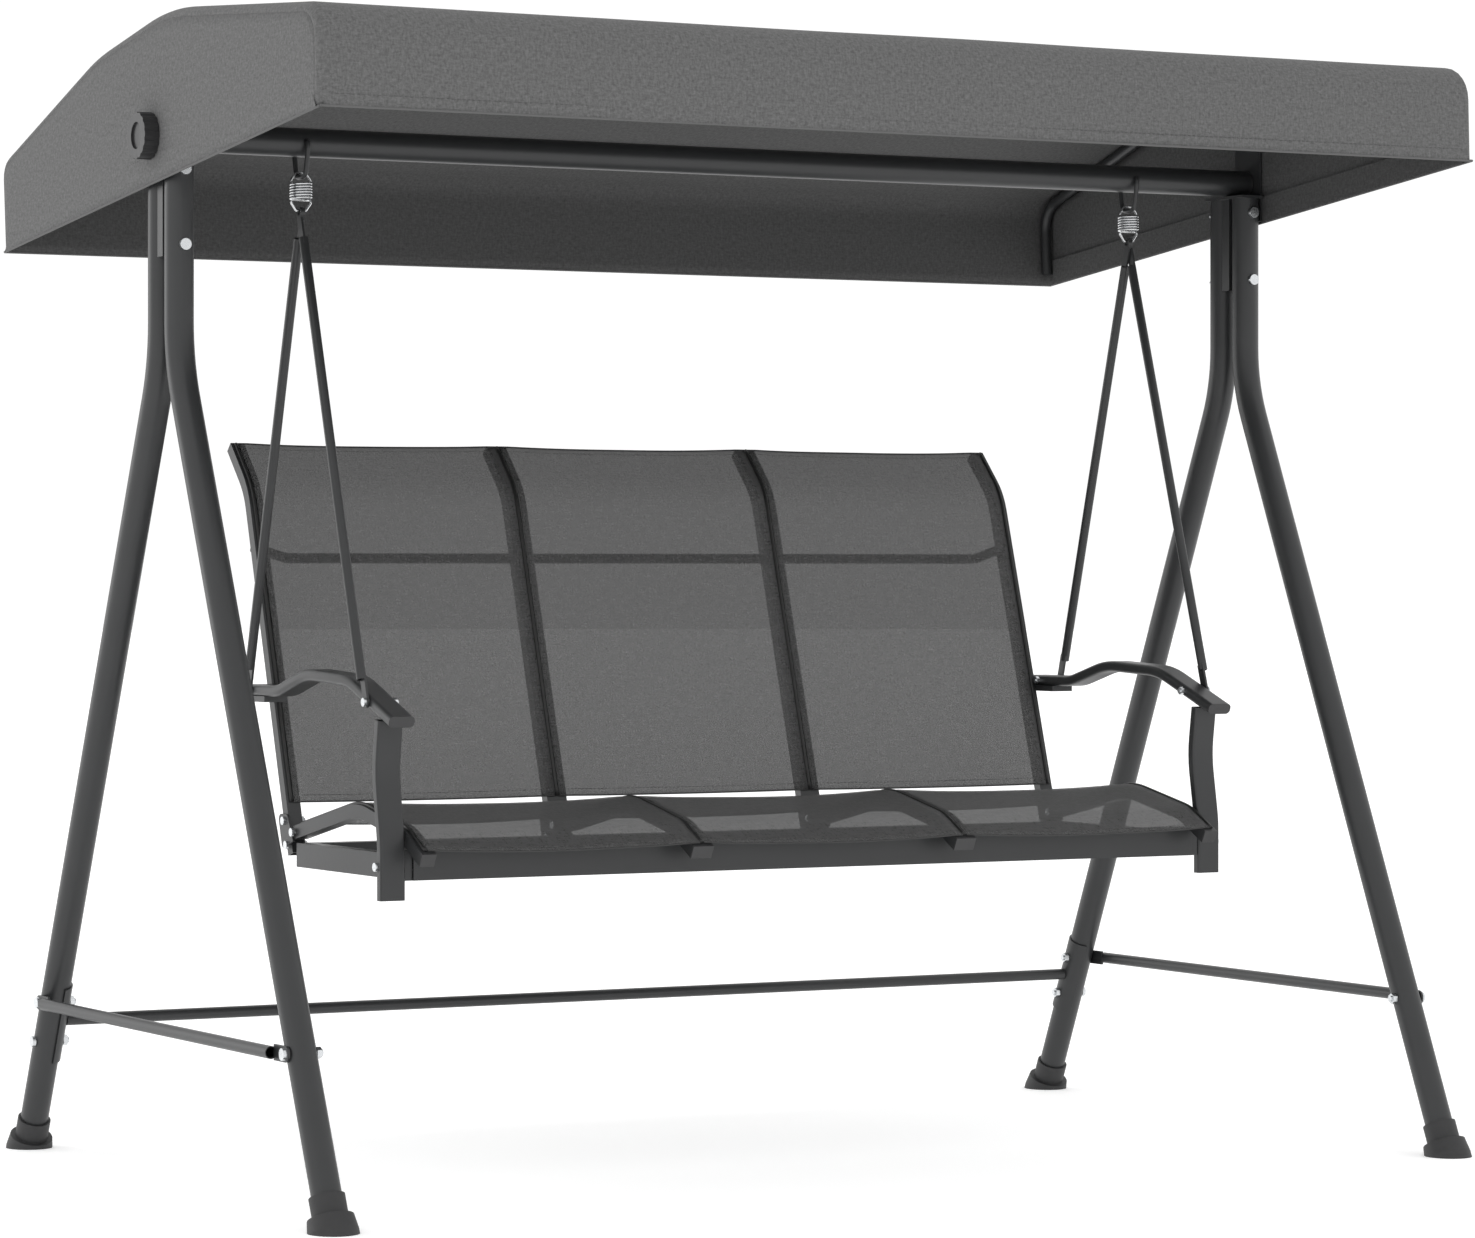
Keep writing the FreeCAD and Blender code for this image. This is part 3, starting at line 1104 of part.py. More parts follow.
def make_canopy_frame():
    tops = inset_cover("bow_inset", "bow_diameter", "bow_diameter")
    tops[4] = (*tops[4][:2], "bow_eave_radius")
    rim_slope = "((cover_rear_rise - cover_front_rise) / (cover_rear_y - cover_front_y))"
    strips, plates = [], []
    for side_name, side in SIDES:
        keep(bent_tube(tops, "bow_diameter", "bow_wall", offset=mirrored(side, BOW_PLANE)),
             f"canopy_bow_{side_name}")
        near = "(cover_front_y + bow_inset + bow_diameter / 2 + 1)"
        far = "(cover_rear_y - bow_inset - bow_diameter / 2 - 1)"
        low_near = f"({BAR} + cover_front_rise + ({near} - cover_front_y) * {rim_slope} + 2)"
        low_far = f"({BAR} + cover_front_rise + ({far} - cover_front_y) * {rim_slope} + 2)"
        body = new_body()
        outer_face = f"{LEG_FACE} + strip_gap + strip_thickness * 1.5"
        sketch = new_sketch(body, "YZ_Plane", mirrored(side, outer_face))
        draw(sketch, [(near, low_near, None), (far, low_far, None),
                      (far, f"{low_far} + strip_depth", None),
                      (near, f"{low_near} + strip_depth", None)])
        pad(body, sketch, "strip_thickness", symmetric=True)
        drill(body, "YZ_Plane", "0", BAR, "knob_stud + 1")
        strips.append(body)
        body = new_body()
        inner_face = f"{LEG_FACE} + strip_gap + strip_thickness / 2"
        sketch = new_sketch(body, "YZ_Plane", mirrored(side, inner_face))
        left = "(pivot_plate_middle - pivot_plate_width / 2)"
        right = "(pivot_plate_middle + pivot_plate_width / 2)"
        foot = f"{BAR} + cover_front_rise + ({{0}} - cover_front_y) * {rim_slope} + 2"
        roof = f"{BAR} + cover_ridge_rise - 34"
        draw(sketch, [(left, foot.format(left), None), (right, foot.format(right), None),
                      (right, roof, None), (left, roof, None)])
        pad(body, sketch, "strip_thickness", symmetric=True)
        drill(body, "YZ_Plane", "0", BAR, "knob_stud + pivot_fit")
        plates.append(body)
    group("canopy_side_strips", strips)
    group("canopy_pivot_plates", plates)
    half = f"({BOW_PLANE} - bow_diameter / 2 - 0.2)"
    bars = [("canopy_front_bar", "cover_front_y + bow_inset", f"{BAR} + cover_front_rise + 28"),
            ("canopy_ridge_bar", "cover_ridge_y", f"{BAR} + cover_ridge_rise - 20"),
            ("canopy_rear_bar", "cover_eave_y - rear_bar_reach", REAR_BAR_Z)]
    for label, y, z in bars:
        keep(straight_tube("bow_diameter", "bow_wall", half, y, z), label)


def make_knobs():
    """Scalloped clamping knobs on studs that screw into the bar's ends."""
    face = f"({COVER_INSIDE} + cover_thickness + knob_gap)"
    for side_name, side in SIDES:
        body = new_body()
        grip = new_sketch(body, "YZ_Plane", mirrored(side, f"{face} + knob_length / 2"))
        ring(grip, "0", BAR, "knob_radius")
        pad(body, grip, "knob_length", symmetric=True)
        stud_end = f"({BAR_END} - plug_depth * 0.8)"
        stud = new_sketch(body, "YZ_Plane", mirrored(side, f"({face} + 2 + {stud_end}) / 2"))
        ring(stud, "0", BAR, "knob_stud")
        pad(body, stud, f"{face} + 2 - {stud_end}", symmetric=True)
        dish = new_sketch(body, "YZ_Plane", mirrored(side, f"{face} + knob_length"))
        ring(dish, "0", BAR, "knob_dish_radius")
        cut_pocket(body, dish, "2 * knob_dish_depth")
        scallops = new_sketch(body, "YZ_Plane", mirrored(side, f"{face} + knob_length / 2"))
        for i in range(SCALLOPS):
            angle = f"{360.0 / SCALLOPS * (i + 0.5)}"
            reach = "(knob_radius + knob_scallop * 0.72)"
            ring(scallops, f"{reach} * cos({angle})", f"{BAR} + {reach} * sin({angle})",
                 "knob_scallop")
        cut_pocket(body, scallops, "knob_length + 2")
        keep(body, f"knob_{side_name}")


def make_all():
    make_legs()
    make_boots()
    make_hanger_bar()
    make_bar_brackets()
    make_bar_plugs()
    make_side_braces()
    make_stretcher()
    make_frame_bolts()
    make_hooks()
    make_springs()
    make_rods()
    make_arms()
    make_arm_caps()
    make_arm_brackets()
    make_posts()
    make_beams()
    make_corner_brackets()
    make_rails()
    make_cross_tube()
    make_seat_bolts()
    make_slings()
    make_cover()
    make_canopy_frame()
    make_knobs()


def write_parts():
    doc.recompute()
    for thing in doc.Objects:
        if "Invalid" in thing.State or "Error" in thing.State:
            raise RuntimeError(f"{thing.Label} ({thing.Name}) did not build: {thing.State}")
    os.makedirs("parts", exist_ok=True)
    for label, thing in nodes.items():
        if thing.Shape.isNull() or not thing.Shape.isValid():
            raise RuntimeError(f"{label} has no valid shape")
        pieces = len(thing.Links) if thing.TypeId == "Part::Compound" else 1
        if len(thing.Shape.Solids) != pieces:
            raise RuntimeError(f"{label} has {len(thing.Shape.Solids)} solids, not {pieces}")
        thing.Shape.exportStep(f"parts/{label}.step")
        size = thing.Shape.optimalBoundingBox()
        print(f"{label:26s} {thing.Shape.Volume / 1000:9.1f} cm3  "
              f"X {size.XMin:.1f}..{size.XMax:.1f}  Y {size.YMin:.1f}..{size.YMax:.1f}  "
              f"Z {size.ZMin:.1f}..{size.ZMax:.1f}")


make_all()
write_parts()
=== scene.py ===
"""Looks of the three-seat garden swing: powder-coated tube, woven slings and a sewn cloth canopy."""
import json
import math

import bmesh
import bpy
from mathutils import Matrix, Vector, noise


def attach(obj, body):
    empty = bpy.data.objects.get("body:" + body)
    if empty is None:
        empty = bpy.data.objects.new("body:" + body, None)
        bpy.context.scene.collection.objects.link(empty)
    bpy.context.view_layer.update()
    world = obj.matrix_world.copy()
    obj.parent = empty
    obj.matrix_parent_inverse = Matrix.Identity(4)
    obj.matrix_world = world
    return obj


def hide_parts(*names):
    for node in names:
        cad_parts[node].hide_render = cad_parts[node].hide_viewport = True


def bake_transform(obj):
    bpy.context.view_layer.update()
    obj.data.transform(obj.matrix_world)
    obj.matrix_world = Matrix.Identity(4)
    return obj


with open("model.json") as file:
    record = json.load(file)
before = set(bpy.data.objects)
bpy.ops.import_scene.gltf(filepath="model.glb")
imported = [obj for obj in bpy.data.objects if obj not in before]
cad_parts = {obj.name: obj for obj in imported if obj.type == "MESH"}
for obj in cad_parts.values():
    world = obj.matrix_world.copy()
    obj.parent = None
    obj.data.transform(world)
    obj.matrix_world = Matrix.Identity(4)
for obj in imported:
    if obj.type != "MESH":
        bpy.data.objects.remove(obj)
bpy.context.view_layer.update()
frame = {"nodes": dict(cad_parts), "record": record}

MM = 0.001
nodes = frame["nodes"]
SIDES = (("left", -1), ("right", 1))


# ---------------------------------------------------------------- colours and shader nodes

def linear(hex_colour):
    """An sRGB hex colour as linear red, green and blue with full alpha."""
    channels = [int(hex_colour[i:i + 2], 16) / 255 for i in (1, 3, 5)]
    return [c / 12.92 if c <= 0.04045 else ((c + 0.055) / 1.055) ** 2.4 for c in channels] + [1.0]


def add(tree, kind, inputs=None, **settings):
    """Adds a node: settings are its properties; inputs are values or links, by socket name or number."""
    node = tree.nodes.new("ShaderNode" + kind)
    for name, value in settings.items():
        setattr(node, name, value)
    for name, value in (inputs or {}).items():
        if isinstance(value, bpy.types.NodeSocket):
            tree.links.new(value, node.inputs[name])
        else:
            node.inputs[name].default_value = value
    return node


def grain(tree, size, stretch):
    """Unevenness in real space whose lumps are about size metres, drawn out by stretch."""
    place = add(tree, "TexCoord").outputs["Object"]
    scaled = add(tree, "Mapping", {"Vector": place, "Scale": [1 / (size * s) for s in stretch]})
    return add(tree, "TexNoise", {"Vector": scaled.outputs[0], "Scale": 1.0, "Detail": 2.0,
                                  "Roughness": 0.55}).outputs[0]


def new_finish(name, **sockets):
    """A material with one Principled shader, whose uniform values stand on its own sockets."""
    made = bpy.data.materials.new(name)
    made.use_nodes = True
    shader = made.node_tree.nodes["Principled BSDF"]
    for socket, value in sockets.items():
        shader.inputs[socket.replace("_", " ")].default_value = value
    return made, made.node_tree, shader


def hard_finish(name, colours, cloud, marks, roughness, depth, strength, edge, stretch=(1, 1, 1),
                **sockets):
    """A hard surface: clouds of that size between two colours, and finer marks that change its
    roughness and stand out by a real depth, with sharp edges eased to a small radius."""
    made, tree, shader = new_finish(name, **sockets)
    shade = grain(tree, cloud, stretch)
    fine = grain(tree, marks, stretch)
    tone = add(tree, "Mix", {0: shade, 6: linear(colours[0]), 7: linear(colours[1])}, data_type="RGBA")
    rough = add(tree, "MapRange", {0: fine, 3: roughness[0], 4: roughness[1]})
    eased = add(tree, "Bevel", {"Radius": edge}, samples=4)
    relief = add(tree, "Bump", {"Height": fine, "Distance": depth, "Strength": strength,
                                "Normal": eased.outputs[0]})
    tree.links.new(tone.outputs[2], shader.inputs["Base Color"])
    tree.links.new(rough.outputs[0], shader.inputs["Roughness"])
    tree.links.new(relief.outputs[0], shader.inputs["Normal"])
    return made


# ---------------------------------------------------------------- hard finishes

def powder_coated_steel():
    """Polyester powder baked on tube: even charcoal with a satin sheen and a faint orange peel."""
    # Real orange peel is about 0.8 mm across; drawn at 2 mm so that it shows.
    return hard_finish("powder_coated_steel", ("#272829", "#2e2f30"), 60 * MM, 2 * MM, (0.34, 0.44),
                       0.03 * MM, 0.5, 0.6 * MM, Metallic=0.0, IOR=1.5)


def zinc_plated_steel():
    """Barrel-plated bolts and nuts: bright, faintly blue and a little cloudy."""
    return hard_finish("zinc_plated_steel", ("#c4c7ca", "#e0e2e3"), 3 * MM, 3 * MM, (0.2, 0.36),
                       0.02 * MM, 0.4, 0.5 * MM, Metallic=1.0)


def drawn_spring_wire():
    """Zinc-plated spring wire: bright, with fine marks from the drawing die."""
    return hard_finish("drawn_spring_wire", ("#b9bbbd", "#dcddde"), 2 * MM, 0.7 * MM, (0.18, 0.3),
                       0.015 * MM, 0.3, 0.2 * MM, Metallic=1.0)


def moulded_pvc():
    """Soft moulded boots: near black and matt, with the mould's fine spark-eroded grain."""
    # The mould's grain is about 0.3 mm; drawn at 1 mm so that it shows.
    return hard_finish("moulded_pvc", ("#232324", "#2c2c2d"), 8 * MM, 1 * MM, (0.5, 0.66),
                       0.08 * MM, 0.5, 1.0 * MM, Metallic=0.0, IOR=1.53)


def moulded_nylon(name, low, high):
    """Moulded nylon: dark and satin, with faint flow marks from the gate."""
    return hard_finish(name, (low, high), 5 * MM, 5 * MM, (0.38, 0.52),
                       0.04 * MM, 0.4, 0.8 * MM, stretch=(1, 1, 3), Metallic=0.0, IOR=1.53)


# ---------------------------------------------------------------- cloth finishes

# Real threads are 0.6 mm apart in the canopy and 1.1 mm apart in the slings; drawn wider to show.
DRAWN_PITCH = 2.6 * MM
THREAD_RELIEF = 0.22 * MM
# How far the two yarns' shades have to stray from even before the cloth is its darkest or lightest.
YARN_MIX = 0.26


def yarn(tree, flat_place, across, along):
    """Mixed yarn: streaks whose real size is across by along, in metres."""
    scaled = add(tree, "Mapping", {"Vector": flat_place, "Scale": (1 / across, 1 / along, 1)})
    return add(tree, "TexNoise", {"Vector": scaled.outputs[0], "Scale": 1.0, "Detail": 4.0,
                                  "Roughness": 0.7}).outputs[0]


def woven(name, low, high, weft, warp, **sockets):
    """Plain-woven cloth: mixed yarn both ways, and warp and weft that take turns on top.
    Its pattern lies on the flat cloth, in metres."""
    made, tree, shader = new_finish(name, Metallic=0.0, IOR=1.5, Sheen_Roughness=0.5, **sockets)
    flat_place = add(tree, "UVMap", uv_map="cloth").outputs[0]
    both = add(tree, "Math", {0: yarn(tree, flat_place, *weft), 1: yarn(tree, flat_place, *warp)},
               operation="ADD")
    mixed = add(tree, "MapRange", {0: both.outputs[0], 1: 1 - YARN_MIX, 2: 1 + YARN_MIX}).outputs[0]
    tone = add(tree, "Mix", {0: mixed, 6: linear(low), 7: linear(high)}, data_type="RGBA")
    tree.links.new(tone.outputs[2], shader.inputs["Base Color"])
    waves = []
    for axis in add(tree, "SeparateXYZ", {0: flat_place}).outputs[:2]:
        turn = add(tree, "Math", {0: axis, 1: math.pi / DRAWN_PITCH}, operation="MULTIPLY").outputs[0]
        waves.append(add(tree, "Math", {0: turn}, operation="SINE").outputs[0])
    weave = add(tree, "Math", {0: waves[0], 1: waves[1]}, operation="MULTIPLY").outputs[0]
    raised = add(tree, "Math", {0: weave, 1: 0.5, 2: mixed}, operation="MULTIPLY_ADD").outputs[0]
    relief = add(tree, "Bump", {"Height": raised, "Distance": THREAD_RELIEF, "Strength": 0.4})
    tree.links.new(relief.outputs[0], shader.inputs["Normal"])
    return made


def canopy_polyester():
    """Solution-dyed polyester: mid grey with a dark fleck in both directions."""
    return woven("canopy_polyester", "#4c4c4c", "#6b6b6b", (7 * MM, 3 * MM), (3 * MM, 8 * MM),
                 Roughness=0.9, Sheen_Weight=0.02)


def canopy_lining_painted_shade():
    """The cover's inside: the same cloth with a dull waterproof coating, drawn a shade darker as painted
    shade under the canopy.
    """
    return woven("coated_lining_with_painted_shade", "#3f3f3f", "#565656", (7 * MM, 3 * MM), (3 * MM, 8 * MM),
                 Roughness=0.95, Sheen_Weight=0.0)


def sling_mesh():
    """PVC-coated polyester mesh: tight, even and faintly see-through between its threads."""
    # The cloth has two faces, so each lets through the square root of what the whole cloth does.
    return woven("sling_mesh", "#434343", "#585858", (16 * MM, 4 * MM), (4 * MM, 12 * MM),
                 Roughness=0.7, Sheen_Weight=0.03, Alpha=0.74)


def sewn_edge():
    """The same mesh doubled over a cord, drawn darker as painted shade, because nothing shows through
    it.
    """
    return woven("sewn_edge", "#2e2e2e", "#3a3a3a", (12 * MM, 4 * MM), (4 * MM, 12 * MM),
                 Roughness=0.7)


def sewing_thread():
    """Bonded polyester thread dyed to the cloth, with the twist of its three plies."""
    return hard_finish("sewing_thread", ("#474747", "#5a5a5a"), 1.2 * MM, 1.2 * MM, (0.55, 0.65),
                       0.05 * MM, 0.5, 0.2 * MM, Metallic=0.0, IOR=1.5)


# ---------------------------------------------------------------- making pieces

# Sides of a sewn-in cord, of a fat round one, and of a thread.
CORD_SIDES = 8
ROUND_SIDES = 10
THREAD_SIDES = 5
THREAD = 0.4 * MM
# Share of a pitch that is bare at each end of a stitch, and how far its ends dip and its middle
# rises, in radii of the thread.
STITCH_GAP = 0.16
STITCH_LIFTS = (-0.5, 0.55, -0.5)
# How far a row of stitches stands off the cloth's face.
ROW_LIFT = 0.1 * MM
# Corners nearer than this to each other are one.
WELD = 0.01 * MM


def piece_from(name, build, finish, body):
    """Turns a bmesh into a named piece with its finish and the body it rides on."""
    mesh = bpy.data.meshes.new(name)
    build.to_mesh(mesh)
    build.free()
    mesh.materials.append(finish)
    piece = bpy.data.objects.new(name, mesh)
    bpy.context.scene.collection.objects.link(piece)
    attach(piece, body)
    return piece


def cloth_grid(rows):
    """A bmesh from rows of (point, place on the flat cloth), with that place as its UV."""
    build = bmesh.new()
    uv = build.loops.layers.uv.new("cloth")
    verts = [[build.verts.new(point) for point, place in row] for row in rows]
    for i in range(len(rows) - 1):
        for j in range(len(rows[i]) - 1):
            corners = [(i, j), (i + 1, j), (i + 1, j + 1), (i, j + 1)]
            face = build.faces.new([verts[a][b] for a, b in corners])
            face.smooth = True
            for loop, (a, b) in zip(face.loops, corners):
                loop[uv].uv = rows[a][b][1]
    bmesh.ops.recalc_face_normals(build, faces=build.faces)
    return build


def thicken(piece, thickness, shaded_lining=None):
    """Gives a cloth its thickness, half to each side, with its lining on the inside."""
    wall = piece.modifiers.new("cloth_thickness", "SOLIDIFY")
    wall.thickness = thickness
    wall.offset = 0.0
    if shaded_lining:
        piece.data.materials.append(shaded_lining)
        wall.material_offset = 1


def cord_round(build, path, radius, sides):
    """Adds a round cord with closed ends along a path to a bmesh, with cloth UVs along it."""
    uv = build.loops.layers.uv.verify()
    rings, run = [], 0.0
    side = None
    for i, point in enumerate(path):
        ahead = (path[min(i + 1, len(path) - 1)] - path[max(i - 1, 0)]).normalized()
        side = ahead.orthogonal() if side is None else side - ahead * side.dot(ahead)
        side.normalize()
        up = ahead.cross(side)
        if i:
            run += (point - path[i - 1]).length
        ring = [build.verts.new(point + (side * math.cos(a) + up * math.sin(a)) * radius)
                for a in (2 * math.pi * k / sides for k in range(sides))]
        rings.append((ring, run))
    for (low, v0), (high, v1) in zip(rings, rings[1:]):
        for k in range(sides):
            face = build.faces.new([low[k], low[(k + 1) % sides], high[(k + 1) % sides], high[k]])
            face.smooth = True
            around = [k, k + 1, k + 1, k]
            for loop, turn, v in zip(face.loops, around, (v0, v0, v1, v1)):
                loop[uv].uv = (turn * 2 * math.pi * radius / sides, v)
    build.faces.new(list(reversed(rings[0][0])))
    build.faces.new(rings[-1][0])


def stitches(build, path, outward, pitch=7 * MM):
    """Adds a lock-stitch row to a bmesh: one raised bead of thread a pitch along the path."""
    run = [0.0]
    for a, b in zip(path, path[1:]):
        run.append(run[-1] + (b - a).length)
    count = int(run[-1] / pitch)
    i = 0
    for k in range(count):
        start, end = pitch * (k + STITCH_GAP), pitch * (k + 1 - STITCH_GAP)
        ends = []
        for wanted in (start, (start + end) / 2, end):
            while run[i + 1] < wanted and i < len(run) - 2:
                i += 1
            share = (wanted - run[i]) / (run[i + 1] - run[i])
            ends.append(path[i].lerp(path[i + 1], share))
        i = max(0, i - 2)
        bead = [p + outward * THREAD * lift for p, lift in zip(ends, STITCH_LIFTS)]
        cord_round(build, bead, THREAD, THREAD_SIDES)


def rounded_route(corners, step):
    """Points along straight runs through (y, z, radius) corners, the bends as arcs."""
    points = []
    for i, (y, z, radius) in enumerate(corners):
        here = Vector((y, z))
        if not radius:
            points.append(here)
            continue
        back = (Vector(corners[i - 1][:2]) - here).normalized()
        ahead = (Vector(corners[i + 1][:2]) - here).normalized()
        half = back.angle(ahead) / 2
        centre = here + (back + ahead).normalized() * (radius / math.sin(half))
        start = here + back * (radius / math.tan(half)) - centre
        end = here + ahead * (radius / math.tan(half)) - centre
        sweep = math.atan2(start.x * end.y - start.y * end.x, start.dot(end))
        count = max(4, math.ceil(abs(sweep) * radius / step))
        for k in range(count + 1):
            turn = sweep * k / count
            points.append(centre + Vector((start.x * math.cos(turn) - start.y * math.sin(turn),
                                           start.x * math.sin(turn) + start.y * math.cos(turn))))
    filled = [points[0]]
    for a, b in zip(points, points[1:]):
        parts = max(1, round((b - a).length / step))
        filled += [a.lerp(b, k / parts) for k in range(1, parts + 1)]
    return filled


class Route:
    """A route in the side view with its length so far and its outward direction at each point."""

    def __init__(self, corners, step):
        self.points = rounded_route(corners, step)
        self.run = [0.0]
        for a, b in zip(self.points, self.points[1:]):
            self.run.append(self.run[-1] + (b - a).length)
        self.length = self.run[-1]
        last = len(self.points) - 1
        self.out = []
        for i in range(last + 1):
            along = (self.points[min(i + 1, last)] - self.points[max(i - 1, 0)]).normalized()
            self.out.append(Vector((-along.y, along.x)))

    def at(self, i, x, inset=0.0):
        """The point in space at station i, at x across, moved inwards by inset."""
        flat = self.points[i] - self.out[i] * inset
        return Vector((x, flat.x, flat.y))

    def outward(self, i):
        """The outward direction in space at station i."""
        return Vector((0, self.out[i].x, self.out[i].y))


def spread(low, high, step):
    """Numbers from low to high, evenly, about a step apart."""
    parts = max(1, round((high - low) / step))
    return [low + (high - low) * k / parts for k in range(parts + 1)]


def unevenness(x, y, z, size, seed):
    """Smooth repeatable unevenness of hanging cloth, about -1 to 1, with lumps of that size."""
    return noise.noise(Vector((x / size + seed, y / size + seed, z / size)))


# ---------------------------------------------------------------- canopy cover

BAR_Z = 1.357
CLOTH = 2.4 * MM
# The cover's outline from the side, front to rear: y, z and the radius of the bend there.
COVER = [(-0.534, BAR_Z - 0.003, 0), (-0.530, BAR_Z + 0.123, 0.048), (-0.050, BAR_Z + 0.162, 0.6),
         (0.198, BAR_Z + 0.121, 0.5), (0.552, BAR_Z + 0.005, 0.032), (0.541, BAR_Z - 0.120, 0)]
END_PANEL_X = 0.85425
SHOULDER = 12 * MM
SHOULDER_X = END_PANEL_X - SHOULDER
# Length along the cover to the bars that hold it up, and what it sags and ripples between them.
ROOF_BARS = (0.126, 0.61, 1.07)
ROOF_SAG = 5 * MM
ROOF_RIPPLE = 1.2 * MM
ROOF_LUMPS = 0.3
# Stations this far apart along the cover, across it, and along its edges.
COVER_STEP = 12 * MM
ACROSS_STEP = 26 * MM
EDGE_STEP = 20 * MM
HEM_ROLL = 1.6 * MM
HEM_DEPTH = 15 * MM
# An end panel lies flat round its knob, comes to its full bulge over the distance that follows, and
# is flat again within a few rows of its edges.
KNOB_FLAT = 50 * MM
KNOB_FADE = 100 * MM
END_BULGE = 0.7 * MM
END_LUMPS = 0.25
# The end panels' turned-up edge: its height, its plane, and its two runs beside the pivot plate.
TURN_UP = 36 * MM
TURN_UP_X = 0.8498
TURN_UP_RUNS = ((-0.516, -0.040), (0.032, 0.523))
TURN_UP_CLOTH = 0.8 * MM
TURN_UP_LIFT = 0.5 * MM
# Steps down an end panel, how many of them its bulge takes to rise, and steps along its lower edge.
END_ROWS = 12
RISE_ROWS = 3
FOOT_STEPS = 60
# Shares of the lower edge left free at each end by the panel's cloth, its hem and its stitches.
FOOT_MARGIN = 0.004
HEM_MARGIN = 0.002
ROW_MARGIN = 0.02


def inside(margin, share):
    """A share from 0 to 1, brought in by a margin at both ends."""
    return margin + (1 - 2 * margin) * share


def roof_sag(route, i, x):
    """How far the cloth hangs below its outline between the end bows and the three cross bars."""
    across = max(0.0, 1 - (x / SHOULDER_X) ** 2)
    sag = 0.0
    for low, high in zip(ROOF_BARS, ROOF_BARS[1:]):
        if low < route.run[i] < high:
            sag = ROOF_SAG * math.sin(math.pi * (route.run[i] - low) / (high - low)) ** 2
    y, z = route.points[i]
    wave = ROOF_RIPPLE * unevenness(x, y, z, ROOF_LUMPS, seed=3.1)
    return across * (sag + wave)


def make_cover_top(cloth, shaded_lining, thread):
    """One continuous sheet from the front valance over the roof to the rear valance. At each end it
    turns down round the bow to the seam with the end panel."""
    route = Route(COVER, COVER_STEP)
    bend = [(SHOULDER_X + SHOULDER * math.sin(turn), SHOULDER * (1 - math.cos(turn)),
             SHOULDER_X + SHOULDER * turn) for turn in (t * math.pi / 12 for t in range(7))]
    middle = [(x, 0.0, x) for x in spread(-SHOULDER_X, SHOULDER_X, ACROSS_STEP)[1:-1]]
    stations = [(-x, inset, -flat) for x, inset, flat in reversed(bend)] + middle + bend
    rows = []
    for i in range(len(route.points)):
        row = []
        for x, inset, flat in stations:
            sag = 0.0 if inset else roof_sag(route, i, x)
            row.append((route.at(i, x, CLOTH / 2 + inset + sag), (flat, route.run[i])))
        rows.append(row)
    cover = piece_from("canopy_cover_top", cloth_grid(rows), cloth, "canopy")
    thicken(cover, CLOTH, shaded_lining)
    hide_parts("canopy_top_panel")

    hems = bmesh.new()
    for i in (0, -1):
        end = route.at(i, 0, CLOTH / 2)
        line = [Vector((x, end.y, end.z)) for x in spread(-END_PANEL_X, END_PANEL_X, EDGE_STEP)]
        cord_round(hems, line, HEM_ROLL, ROUND_SIDES)
    hem = piece_from("canopy_hem_rolls", hems, cloth, "canopy")

    rows_sewn = bmesh.new()
    for stop in (HEM_DEPTH, route.length - HEM_DEPTH):
        i = min(range(len(route.run)), key=lambda k: abs(route.run[k] - stop))
        along = Vector((0, route.out[i].y, -route.out[i].x))
        shift = along * (stop - route.run[i])
        line = [route.at(i, x) + shift for x in spread(-SHOULDER_X, SHOULDER_X, EDGE_STEP)]
        stitches(rows_sewn, line, route.outward(i))
    sewn = piece_from("canopy_top_stitches", rows_sewn, thread, "canopy")
    return route


